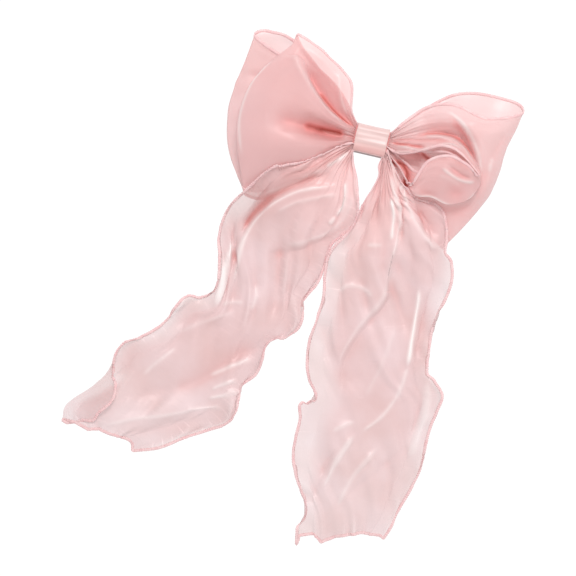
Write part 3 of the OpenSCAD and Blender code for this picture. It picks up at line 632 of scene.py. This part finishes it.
def hem_tube(name, path, normal, material):
    """Overlocked hem along a path in mm: a flat cord whose surface swells at every stitch."""
    reach = reach_along(path)
    want = np.linspace(0, reach[-1], int(reach[-1] / (STITCH / STITCH_STEPS)) + 2)
    path = resample(path, want, reach)
    out, up = beside(path, resample(normal, want, reach))
    angle = np.linspace(0, 2 * math.pi, HEM_SIDES, endpoint=False)
    swell = 1 + STITCH_SWELL * np.sin(want[:, None] / STITCH * 2 * math.pi + angle)
    rings = (path[:, None, :]
             + out[:, None, :] * (HEM_THICK * np.cos(angle) * swell)[..., None]
             + up[:, None, :] * (HEM_WIDE * np.sin(angle) * swell)[..., None])
    return close_tube(name, rings * MM + KNOT, material)


def join(name, pieces):
    """One object out of several."""
    with bpy.context.temp_override(active_object=pieces[0], selected_editable_objects=pieces,
                                   selected_objects=pieces, object=pieces[0]):
        bpy.ops.object.join()
    pieces[0].name = name
    pieces[0].data.name = name
    return pieces[0]


# ---------------------------------------------------------------- materials
COLOUR_DETAIL = 3.0
ROUGH_DETAIL = 2.0
TINT_ENDS = (0.32, 0.68)


def new_material(name):
    material = bpy.data.materials.new(name)
    material.use_nodes = True
    tree = material.node_tree
    return material, tree, tree.nodes["Principled BSDF"]


def set_inputs(node, values):
    """Sets a node's sockets by their names."""
    for key, value in values.items():
        node.inputs[key].default_value = value


def add(tree, kind, **values):
    """A new node; each value goes to the socket or the setting of that name."""
    node = tree.nodes.new(kind)
    for key, value in values.items():
        if key in node.inputs:
            node.inputs[key].default_value = value
        else:
            setattr(node, key, value)
    return node


def noise(tree, coords, scale, detail):
    """Noise from 0 to 1."""
    texture = add(tree, "ShaderNodeTexNoise", Scale=scale, Detail=detail)
    tree.links.new(coords, texture.inputs["Vector"])
    return texture.outputs["Fac"]


def map_range(tree, value, ends):
    """A value mapped evenly between two ends."""
    span = add(tree, "ShaderNodeMapRange")
    set_inputs(span, ends)
    tree.links.new(value, span.inputs["Value"])
    return span.outputs["Result"]


def share_between(tree, value, low, high):
    """0 below the low value, 1 above the high one, and an even rise between."""
    return map_range(tree, value, {"From Min": low, "From Max": high})


def rough_noise(tree, coords, scale, low, high):
    """Roughness that drifts between two values."""
    return map_range(tree, noise(tree, coords, scale, ROUGH_DETAIL), {"To Min": low, "To Max": high})


def colour_noise(tree, coords, scale, low, high):
    """Colour that drifts between two tints."""
    fac = noise(tree, coords, scale, COLOUR_DETAIL)
    ramp = add(tree, "ShaderNodeValToRGB")
    for element, position, tint in zip(ramp.color_ramp.elements, TINT_ENDS, (low, high)):
        element.position = position
        element.color = (*tint, 1)
    tree.links.new(fac, ramp.inputs["Fac"])
    return ramp.outputs["Color"]


def blend_colour(tree, factor, colour, other):
    """Mixes a colour socket with a fixed colour, or with another socket, by a factor socket."""
    mix = add(tree, "ShaderNodeMixRGB")
    tree.links.new(factor, mix.inputs["Fac"])
    tree.links.new(colour, mix.inputs["Color1"])
    if isinstance(other, tuple):
        mix.inputs["Color2"].default_value = (*other, 1)
    else:
        tree.links.new(other, mix.inputs["Color2"])
    return mix.outputs["Color"]


def bump_over(tree, height, strength, distance, under=None):
    """Bump from a height socket, on top of another bump if there is one."""
    bump = add(tree, "ShaderNodeBump", Strength=strength, Distance=distance)
    tree.links.new(height, bump.inputs["Height"])
    if under:
        tree.links.new(under, bump.inputs["Normal"])
    return bump.outputs["Normal"]


TAIL_LOW = (0.70, 0.44, 0.43)
TAIL_HIGH = (0.77, 0.55, 0.56)
# Painted shade for the hollows of loops and tails, a darker painted shade for the deepest hollows, and the
# painted highlight on crests
LOOP_HOLLOW_SHADE = (0.88, 0.37, 0.355)
TAIL_HOLLOW_SHADE = (0.69, 0.335, 0.32)
FOLD_DEEP_SHADE = (0.44, 0.07, 0.05)
FOLD_HIGHLIGHT = (0.97, 0.88, 0.86)


def organza(name, low, high, shade_colour, slot, solid=False):
    """Glossy half-transparent woven cloth: drifting tint, painted shade in deep hollows, painted highlights
    on crests, weave and crinkle.
    """
    material, tree, shader = new_material(name)
    place = add(tree, "ShaderNodeTexCoord")
    coords = place.outputs["Object"]
    folds = add(tree, "ShaderNodeAttribute", attribute_name="folds")
    tones = add(tree, "ShaderNodeSeparateColor")
    tree.links.new(folds.outputs["Color"], tones.inputs["Color"])
    hollow_shade, crest, down_tail = (tones.outputs[channel] for channel in ("Red", "Green", "Blue"))
    colour = colour_noise(tree, coords, scale=22.0, low=low, high=high)
    far = colour_noise(tree, coords, scale=30.0, low=TAIL_LOW, high=TAIL_HIGH)
    colour = blend_colour(tree, down_tail, colour, far)
    # Painted shade in the hollows, darker painted shade in the deepest ones, then painted highlights on the
    # crests
    colour = blend_colour(tree, share_between(tree, hollow_shade, low=0.0, high=0.65), colour, shade_colour)
    colour = blend_colour(tree, share_between(tree, hollow_shade, low=0.55, high=1.0), colour, FOLD_DEEP_SHADE)
    colour = blend_colour(tree, crest, colour, FOLD_HIGHLIGHT)
    tree.links.new(colour, shader.inputs["Base Color"])
    if not solid:
        tree.links.new(folds.outputs["Alpha"], shader.inputs["Alpha"])
    set_inputs(shader, {"Specular IOR Level": 0.6, "Specular Tint": (1, 0.86, 0.85, 1), "Sheen Weight": 0.2,
                        "Sheen Roughness": 0.35, "Sheen Tint": (1, 0.8, 0.79, 1)})
    tree.links.new(rough_noise(tree, coords, scale=60.0, low=0.30, high=0.46), shader.inputs["Roughness"])
    crinkle = noise(tree, coords, scale=240.0, detail=4.0)
    soft = bump_over(tree, crinkle, strength=0.18, distance=0.0005)
    weave = add(tree, "ShaderNodeMath", operation="MAXIMUM")
    for socket, direction in enumerate(("X", "Y")):
        wave = add(tree, "ShaderNodeTexWave", Scale=320.0, wave_type="BANDS", bands_direction=direction)
        tree.links.new(place.outputs["UV"], wave.inputs["Vector"])
        tree.links.new(wave.outputs["Fac"], weave.inputs[socket])
    woven = bump_over(tree, weave.outputs["Value"], strength=0.12, distance=0.00008, under=soft)
    tree.links.new(woven, shader.inputs["Normal"])
    material["slot"] = slot
    return material


def hem_thread(name, low, high, alpha):
    """Fine overlock thread."""
    material, tree, shader = new_material(name)
    coords = add(tree, "ShaderNodeTexCoord").outputs["Object"]
    tree.links.new(colour_noise(tree, coords, scale=260.0, low=low, high=high), shader.inputs["Base Color"])
    set_inputs(shader, {"Alpha": alpha, "Roughness": 0.5, "Specular IOR Level": 0.15, "Sheen Weight": 0.3,
                        "Sheen Tint": (1, 0.72, 0.72, 1)})
    grain = noise(tree, coords, scale=1800.0, detail=2.0)
    tree.links.new(bump_over(tree, grain, strength=0.4, distance=0.0002), shader.inputs["Normal"])
    return material


def stretched(tree, scale):
    """Object coordinates scaled by a different amount along each axis."""
    place = add(tree, "ShaderNodeTexCoord")
    stretch = add(tree, "ShaderNodeMapping")
    stretch.inputs["Scale"].default_value = scale
    tree.links.new(place.outputs["Object"], stretch.inputs["Vector"])
    return stretch.outputs["Vector"]


# Painted shade for the band's lower side, turned away from the key lamp
SATIN_SHADE = (0.78, 0.45, 0.43)
SHADE_FROM = 0.002
SHADE_TO = 0.006


def satin(name, low, high):
    """Shiny satin with its threads along the band, with painted shade deepening its colour towards its lower
    side.
    """
    material, tree, shader = new_material(name)
    coords = stretched(tree, (40.0, 420.0, 420.0))
    axes = add(tree, "ShaderNodeSeparateXYZ")
    tree.links.new(add(tree, "ShaderNodeTexCoord").outputs["Object"], axes.inputs["Vector"])
    # Painted shade: the band's lower side is blended towards a deeper pink
    lower_side_shade = share_between(tree, axes.outputs["Y"], float(KNOT[1]) - SHADE_FROM, float(KNOT[1]) - SHADE_TO)
    colour = colour_noise(tree, coords, scale=1.0, low=low, high=high)
    tree.links.new(blend_colour(tree, lower_side_shade, colour, SATIN_SHADE), shader.inputs["Base Color"])
    set_inputs(shader, {"Roughness": 0.36, "Sheen Weight": 0.2, "Specular IOR Level": 0.55})
    threads = noise(tree, coords, scale=1.6, detail=3.0)
    tree.links.new(bump_over(tree, threads, strength=0.12, distance=0.0002), shader.inputs["Normal"])
    return material


def steel(name, tone, roughness, scale):
    """Stamped steel: fine drawn lines and a slightly uneven shine."""
    material, tree, shader = new_material(name)
    coords = stretched(tree, scale)
    low = tuple(0.8 * c for c in tone)
    tree.links.new(colour_noise(tree, coords, scale=1.0, low=low, high=tone), shader.inputs["Base Color"])
    shader.inputs["Metallic"].default_value = 1.0
    uneven = rough_noise(tree, coords, scale=1.0, low=roughness * 0.75, high=roughness * 1.35)
    tree.links.new(uneven, shader.inputs["Roughness"])
    lines = noise(tree, coords, scale=1.0, detail=5.0)
    tree.links.new(bump_over(tree, lines, strength=0.15, distance=0.0001), shader.inputs["Normal"])
    return material


def glue(name, low, high):
    """Set hot glue: cloudy and a little yellow."""
    material, tree, shader = new_material(name)
    coords = add(tree, "ShaderNodeTexCoord").outputs["Object"]
    tree.links.new(colour_noise(tree, coords, scale=300.0, low=low, high=high), shader.inputs["Base Color"])
    shader.inputs["Roughness"].default_value = 0.25
    ripple = noise(tree, coords, scale=260.0, detail=1.0)
    tree.links.new(bump_over(tree, ripple, strength=0.5, distance=0.0006), shader.inputs["Normal"])
    return material


CLOTH = organza("organza", (0.88, 0.53, 0.52), (0.89, 0.58, 0.58), LOOP_HOLLOW_SHADE, "organza")
CLOTH_REAR = organza("organza_rear", (0.84, 0.52, 0.51), (0.85, 0.57, 0.57), LOOP_HOLLOW_SHADE, "rear_organza")
CLOTH_TAIL = organza("organza_tail", (0.86, 0.52, 0.51), (0.88, 0.58, 0.58), TAIL_HOLLOW_SHADE, "organza")
CLOTH_CORE = organza("organza_core", (0.80, 0.36, 0.35), (0.84, 0.42, 0.41), LOOP_HOLLOW_SHADE, "rear_organza",
                     solid=True)
HEM = hem_thread("hem_thread", (0.93, 0.60, 0.61), (0.96, 0.70, 0.70), alpha=0.8)
SATIN = satin("satin_band", (0.70, 0.47, 0.45), (0.79, 0.58, 0.56))
THREAD = hem_thread("gathering_thread", (0.74, 0.60, 0.58), (0.86, 0.74, 0.72), alpha=1.0)
ARM_STEEL = steel("arm_steel", (0.62, 0.62, 0.64), roughness=0.28, scale=(90.0, 1400.0, 1400.0))
PIN_STEEL = steel("pin_steel", (0.50, 0.50, 0.53), roughness=0.22, scale=(1200.0, 90.0, 1200.0))
SPRING_STEEL = steel("spring_steel", (0.42, 0.43, 0.46), roughness=0.25, scale=(500.0, 500.0, 500.0))
GLUE = glue("glue", (0.62, 0.60, 0.50), (0.80, 0.79, 0.70))

# ---------------------------------------------------------------- ribbons
RIBBON_WIDTH = 0.10
# Grid rows across each ribbon and columns along it
ROWS, LOOP_COLUMNS, TAIL_COLUMNS = 130, 230, 380
STRIP_ROWS, STRIP_COLUMNS = 90, 300
FRONT_COVER = 0.64
# What the two rear loops share
REAR_LOOP = {"size": (ROWS, LOOP_COLUMNS), "hem_slack": 0.03, "pleat": 0.8, "cover": 0.66}
# The folds of the left front loop's front half stop at this height in mm, clear of the cloth behind
LEFT_FRONT_FLOOR = 15.4


def keep_above(heights, least, soft=1.5):
    """Heights eased so that none is below the least one."""
    return least + soft * np.logaddexp(0, (heights - least) / soft)


def loop(rails, folds, size, seed, hem_slack, pleat, cover, front_floor=None):
    """A loop's grid, its unfolded grid and its tones; folds lists the fold lines of each part of it."""
    base = loft(rails, *size)
    grid = base.copy()
    tones = np.zeros((4, *size))
    tones[3] = cover
    for lines, part in folds:
        before = grid[..., 2].copy()
        fold(grid, tones, lines, part)
        if front_floor:
            folded = grid[..., 2]
            floored = np.minimum(before, keep_above(folded, front_floor))
            grid[..., 2] = np.where(folded < before, floored, folded)
    return finish_ribbon(grid, seed, hem_slack, pleat), base, tones


TAIL_SWELL = 1.5
TAIL_COVER = 0.90
EDGE_COVER = 0.58
END_THINNING = 0.16
# What both tails share when they are finished
TAIL_FINISH = {"hem_slack": 0.06, "pleat": 1.3, "drawn_height": 3.3, "end_hem": True}


def tail(rails, places, cut, folds, seed, thin, slant, corner):
    """A tail's grid, its unfolded grid and its tones.

    thin gives the width of each more see-through side, corner how see-through the first end corner is.
    """
    grid = tail_loft(rails, places, cut, ROWS, TAIL_COLUMNS)
    across = np.linspace(0, 1, ROWS)[:, None]
    down = np.linspace(0, 1, TAIL_COLUMNS)[None, :]
    grid[..., 2] += TAIL_SWELL * np.sin(math.pi * across) * np.minimum(down * 5, 1)
    base = grid.copy()
    tones = np.zeros((4, *grid.shape[:2]))
    fold(grid, tones, folds, WHOLE)
    tones[2] = smooth_step(40, 90, np.linalg.norm(grid[..., :2], axis=2))
    # The painted shade of the hollows is weaker down the tail
    tones[0] *= 0.8 - 0.45 * tones[2]
    drift = 0.07 * soft_noise(grid.shape[:2], (50, 45), np.random.default_rng(seed))
    dense = (smooth_step(0.3 * thin[0], 1.5 * thin[0], across + drift)
             * smooth_step(0.3 * thin[1], 1.5 * thin[1], 1 - across + drift))
    middle = TAIL_COVER - END_THINNING * smooth_step(0.55, 1, down)
    tones[3] = middle - (middle - EDGE_COVER) * (1 - dense) * tones[2]
    tones[3] -= corner * smooth_step(0.80, 0.86, down) * (1 - smooth_step(0.22, 0.34, across))
    grid[..., 2] = keep_above(grid[..., 2], REST_HEIGHT)
    return finish_ribbon(grid, seed, slant=slant, **TAIL_FINISH), base, tones


def add_ribbon(name, node, hem_node, shape, material, is_tail=False):
    """The cloth and its hem, riding on the clip, each standing for its CAD node."""
    grid, base, tones = shape
    cloth = sheet_mesh(name, grid, fold_tones(grid, base, tones), material)
    around = normals(grid)
    if is_tail:
        path, side = (np.concatenate([field[0], field[1:-1, -1], field[-1][::-1]])
                      for field in (grid, around))
        hem = hem_tube(name + "_hem_thread", path, side, HEM)
    else:
        hem = join(name + "_hem_thread", [hem_tube(name + "_hem_a", grid[0], around[0], HEM),
                                          hem_tube(name + "_hem_b", grid[-1], around[-1], HEM)])
    for piece, stands_for, slot in ((cloth, node, material["slot"]), (hem, hem_node, "hem")):
        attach(piece, CLIP_BODY)
        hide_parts(stands_for)


def build_ribbons():
    left_rear = loop(LEFT_REAR, [(LEFT_REAR_FOLDS, FRONT_HALF)], seed=11, **REAR_LOOP)
    left_front = loop(LEFT_FRONT, [(LEFT_FRONT_FOLDS, FRONT_HALF), (LEFT_FRONT_EDGE_HIGHLIGHT, WHOLE)],
                      (ROWS, LOOP_COLUMNS), seed=12, hem_slack=0.015, pleat=0.5, cover=FRONT_COVER,
                      front_floor=LEFT_FRONT_FLOOR)
    right_rear = loop(RIGHT_REAR, [(RIGHT_REAR_FOLDS, FRONT_HALF)], seed=13, **REAR_LOOP)
    right_front = loop(RIGHT_FRONT,
                       [(RIGHT_FRONT_TOP_FOLDS, FRONT_HALF), (RIGHT_FRONT_PETAL_FOLDS, BACK_HALF)],
                       (STRIP_ROWS, STRIP_COLUMNS), seed=14, hem_slack=0.01, pleat=0.3, cover=FRONT_COVER)
    left_tail = tail([LEFT_TAIL_OUTER, LEFT_TAIL_TURN, LEFT_TAIL_INSIDE, LEFT_TAIL_INNER],
                     [0, 0.15, 0.88, 1], LEFT_CUT, LEFT_TAIL_FOLDS,
                     seed=15, thin=(0.13, 0.05), slant=-1.3, corner=0.35)
    right_tail = tail([RIGHT_TAIL_INNER, RIGHT_TAIL_INSIDE, RIGHT_TAIL_TURN, RIGHT_TAIL_OUTER],
                      [0, 0.12, 0.87, 1], RIGHT_CUT, RIGHT_TAIL_FOLDS,
                      seed=16, thin=(0.2, 0.12), slant=-1.5, corner=0.0)

    add_ribbon("left_rear_ribbon", "left_rear_loop", "left_rear_hem", left_rear, CLOTH_REAR)
    add_ribbon("left_front_ribbon", "left_front_loop", "left_front_hem", left_front, CLOTH)
    add_ribbon("right_rear_ribbon", "right_rear_loop", "right_rear_hem", right_rear, CLOTH_REAR)
    add_ribbon("right_front_ribbon", "right_front_loop", "right_front_hem", right_front, CLOTH)
    add_ribbon("left_tail_ribbon", "left_tail", "left_tail_hem", left_tail, CLOTH_TAIL,
               is_tail=True)
    add_ribbon("right_tail_ribbon", "right_tail", "right_tail_hem", right_tail, CLOTH_TAIL,
               is_tail=True)


# ---------------------------------------------------------------- knot
BAND_THICK = 0.0005
BAND_AROUND, BAND_ALONG = 150, 42
BUNDLE_AROUND, BUNDLE_ALONG = 220, 30
THREAD_RADIUS = 0.00022
THREAD_TURNS = 6
TURN_STEPS = 90
THREAD_SIDES = 8


def stadium(places, radius):
    """Points (y, z) and outward directions round the knot's long-round section, at places from 0 to 1."""
    outer = (band_high[2] - band_low[2]) / 2
    half = (band_high[1] - band_low[1]) / 2 - outer
    arc = math.pi * radius
    round_trip = 2 * arc + 4 * half
    points, outward = [], []
    for place in places:
        go = (place % 1.0) * round_trip
        if go < arc:
            turn = math.pi / 2 - go / radius
            centre, direction = half, (math.cos(turn), math.sin(turn))
        elif go < arc + 2 * half:
            centre, direction = half - (go - arc), (0.0, -1.0)
        elif go < 2 * arc + 2 * half:
            turn = -math.pi / 2 - (go - arc - 2 * half) / radius
            centre, direction = -half, (math.cos(turn), math.sin(turn))
        else:
            centre, direction = -half + (go - 2 * arc - 2 * half), (0.0, 1.0)
        points.append((band_middle[1] + centre + radius * direction[0],
                       band_middle[2] + radius * direction[1]))
        outward.append(direction)
    return np.array(points), np.array(outward)


def band_of_satin():
    """Folded satin round the knot: soft pleats along it, rolled edges, and an open inside."""
    radius = (band_high[2] - band_low[2]) / 2
    half = (band_high[0] - band_low[0]) / 2
    section, outward = stadium(np.linspace(0, 1, BAND_AROUND, endpoint=False), radius)
    places = np.linspace(-1, 1, BAND_ALONG)
    phase = np.arange(BAND_AROUND) / BAND_AROUND * 2 * math.pi
    rows = []
    for place in places:
        lift = 0.35 * np.sin(6 * phase + 0.4 * place) + 0.14 * np.sin(13 * phase - 0.6 * place)
        roll = 0.25 * math.exp(-((1 - abs(place)) / 0.07) ** 2) - 0.15 * (1 - place ** 2)
        edge = section + outward * ((lift * 0.45 + roll) * MM)[:, None]
        x = band_middle[0] + place * half + 0.15 * MM * np.sin(3 * phase) * abs(place)
        rows.append(np.column_stack([x, edge]))
    for place in places[::-1]:
        edge = section - outward * BAND_THICK
        x = band_middle[0] + place * 0.995 * half
        rows.append(np.column_stack([np.full(BAND_AROUND, x), edge]))
    rings = np.array(rows)
    index = np.arange(len(rings) * BAND_AROUND).reshape(len(rings), BAND_AROUND)
    after = np.roll(index, -1, axis=1)
    below = np.roll(index, -1, axis=0)
    corner = np.roll(after, -1, axis=0)
    faces = np.stack([index, after, corner, below], axis=-1).reshape(-1, 4).tolist()
    return mesh_object("satin_knot_band", rings.reshape(-1, 3), faces, SATIN)


def gathered_bundle():
    """The pinched ribbons inside the band: a bundle of tight pleats."""
    low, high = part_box("gathered_core")
    radius = (high[2] - low[2]) / 2
    section, outward = stadium(np.linspace(0, 1, BUNDLE_AROUND, endpoint=False), radius)
    phase = np.arange(BUNDLE_AROUND) / BUNDLE_AROUND * 2 * math.pi
    rings = []
    for place in np.linspace(-1, 1, BUNDLE_ALONG):
        inward = 0.35 + 0.3 * np.cos(26 * phase + 0.8 * place) + 0.15 * np.cos(43 * phase)
        inward = inward + 1.2 * smooth_step(0.9, 1.0, abs(place))
        edge = section - outward * (inward * MM)[:, None]
        x = (low[0] + high[0]) / 2 + place * (high[0] - low[0]) / 2
        rings.append(np.column_stack([np.full(BUNDLE_AROUND, x), edge]))
    return close_tube("gathered_pleats", np.array(rings), CLOTH_CORE)


def gathering_turns():
    """The gathering thread: one winding of twisted thread round the gathers."""
    low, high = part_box("gathering_thread")
    radius = (high[2] - low[2]) / 2
    section, outward = stadium(np.arange(THREAD_TURNS * TURN_STEPS) / TURN_STEPS, radius - THREAD_RADIUS)
    x = np.linspace(low[0] + THREAD_RADIUS, high[0] - THREAD_RADIUS, len(section))
    path = np.column_stack([x, section])
    out, up = beside(path, np.column_stack([np.zeros(len(section)), outward]))
    angle = np.linspace(0, 2 * math.pi, THREAD_SIDES, endpoint=False)
    twist = np.arange(len(path))[:, None] * 0.9 + 2 * angle
    size = THREAD_RADIUS * (1 + 0.12 * np.sin(twist))
    rings = (path[:, None, :] + out[:, None, :] * (size * np.cos(angle))[..., None]
             + up[:, None, :] * (size * np.sin(angle))[..., None])
    return close_tube("gathering_thread_turns", rings, THREAD)


def build_knot():
    for piece, node, slot in ((band_of_satin(), "knot_band", "satin"),
                              (gathered_bundle(), "gathered_core", "rear_organza"),
                              (gathering_turns(), "gathering_thread", "thread")):
        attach(piece, CLIP_BODY)
        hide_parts(node)


# ---------------------------------------------------------------- spring and clip
COIL_TURNS = 4
COIL_STEPS = 40
WIRE_RADIUS = 0.0003
WIRE_SIDES = 12
LEG = 0.007
LEG_STEPS = 12
LOWER_LEG_RISE = 0.85


def build_spring():
    """Round-wire spring on the pin, with a leg under the upper arm and a leg on the jaw's lever."""
    low, high = (np.array(corner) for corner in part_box("torsion_spring"))
    pin_low, pin_high = (np.array(corner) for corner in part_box("pivot_pin"))
    centre = (pin_low + pin_high) / 2
    coil_r = centre[0] - low[0] - WIRE_RADIUS
    half = (high[1] - low[1]) / 2 - WIRE_RADIUS
    rise = high[2] - WIRE_RADIUS - centre[2] - coil_r
    turn = np.linspace(0, 2 * math.pi * COIL_TURNS, COIL_TURNS * COIL_STEPS + 1)
    coil = np.column_stack([centre[0] - coil_r * np.sin(turn),
                            centre[1] - half + 2 * half * turn / turn[-1],
                            centre[2] + coil_r * np.cos(turn)])
    leg = np.linspace(1, 0, LEG_STEPS, endpoint=False)[:, None]
    upper = coil[0] + leg * np.array([LEG, 0, rise])
    lower = coil[-1] + leg[::-1] * np.array([LEG, 0, rise * LOWER_LEG_RISE])
    path = np.concatenate([upper, coil, lower])
    out, up = beside(path, np.tile([0.0, 1.0, 0.0], (len(path), 1)))
    angle = np.linspace(0, 2 * math.pi, WIRE_SIDES, endpoint=False)[:, None]
    around = out[:, None, :] * np.cos(angle) + up[:, None, :] * np.sin(angle)
    rings = path[:, None, :] + WIRE_RADIUS * around
    spring = close_tube("torsion_spring_wire", rings, SPRING_STEEL)
    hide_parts("torsion_spring")
    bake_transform(spring)


def dress_clip():
    """Brushed and drawn metal, and glue, on the CAD parts that stay."""
    for node, material in (("glue_pad", GLUE), ("upper_arm", ARM_STEEL), ("lower_jaw", ARM_STEEL),
                           ("pivot_pin", PIN_STEEL)):
        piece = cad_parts[node]
        piece.data.materials.clear()
        piece.data.materials.append(material)


# ---------------------------------------------------------------- stage, light and camera
VIEW_CENTRE = KNOT + np.array([-31, -105, 0]) * MM
FIELD = 0.3744
BOW_PLANE = 0.015
CAMERA_HEIGHT = 1.4
CAMERA_TURN = math.radians(13)
SENSOR = 36
FLOOR_HALF = 2.0
FLOOR_HEIGHT = -0.0004
WORLD_STRENGTH = 0.67


def build_stage():
    """White light table."""
    material, _, shader = new_material("floor_white")
    set_inputs(shader, {"Base Color": (0.05, 0.05, 0.05, 1), "Roughness": 0.9, "Specular IOR Level": 0.0,
                        "Emission Color": (1, 1, 1, 1), "Emission Strength": 1.0})
    corners = [(x * FLOOR_HALF, y * FLOOR_HALF, FLOOR_HEIGHT)
               for x, y in ((-1, -1), (1, -1), (1, 1), (-1, 1))]
    mesh_object("floor", corners, [(0, 1, 2, 3)], material, smooth=False)


def area_light(name, place, target, size, power):
    """A round lamp at a place, turned towards a target."""
    data = bpy.data.lights.new(name, "AREA")
    data.shape = "DISK"
    data.size = size
    data.energy = power
    lamp = bpy.data.objects.new(name, data)
    lamp.location = place
    lamp.rotation_euler = (Vector(target) - Vector(place)).to_track_quat("-Z", "Y").to_euler()
    bpy.context.scene.collection.objects.link(lamp)


def build_lights():
    world = bpy.data.worlds.new("studio")
    bpy.context.scene.world = world
    world.use_nodes = True
    set_inputs(world.node_tree.nodes["Background"], {"Color": (1, 1, 1, 1), "Strength": WORLD_STRENGTH})
    area_light("key", place=(-0.12, 0.55, 1.0), target=(-0.05, -0.08, 0), size=0.45, power=6.8)
    area_light("fill", place=(0.6, -0.4, 0.9), target=(-0.03, -0.08, 0), size=0.7, power=1.5)


def build_camera():
    data = bpy.data.cameras.new("camera")
    data.sensor_width = SENSOR
    data.lens = SENSOR * (CAMERA_HEIGHT - BOW_PLANE) / FIELD
    data.clip_end = 10
    camera = bpy.data.objects.new("camera", data)
    camera.location = (VIEW_CENTRE[0], VIEW_CENTRE[1], CAMERA_HEIGHT)
    camera.rotation_euler = (0, 0, CAMERA_TURN)
    bpy.context.scene.collection.objects.link(camera)
    bpy.context.scene.camera = camera


build_ribbons()
build_knot()
build_spring()
dress_clip()
build_stage()
build_lights()
build_camera()
bpy.context.scene.view_settings.view_transform = "Standard"
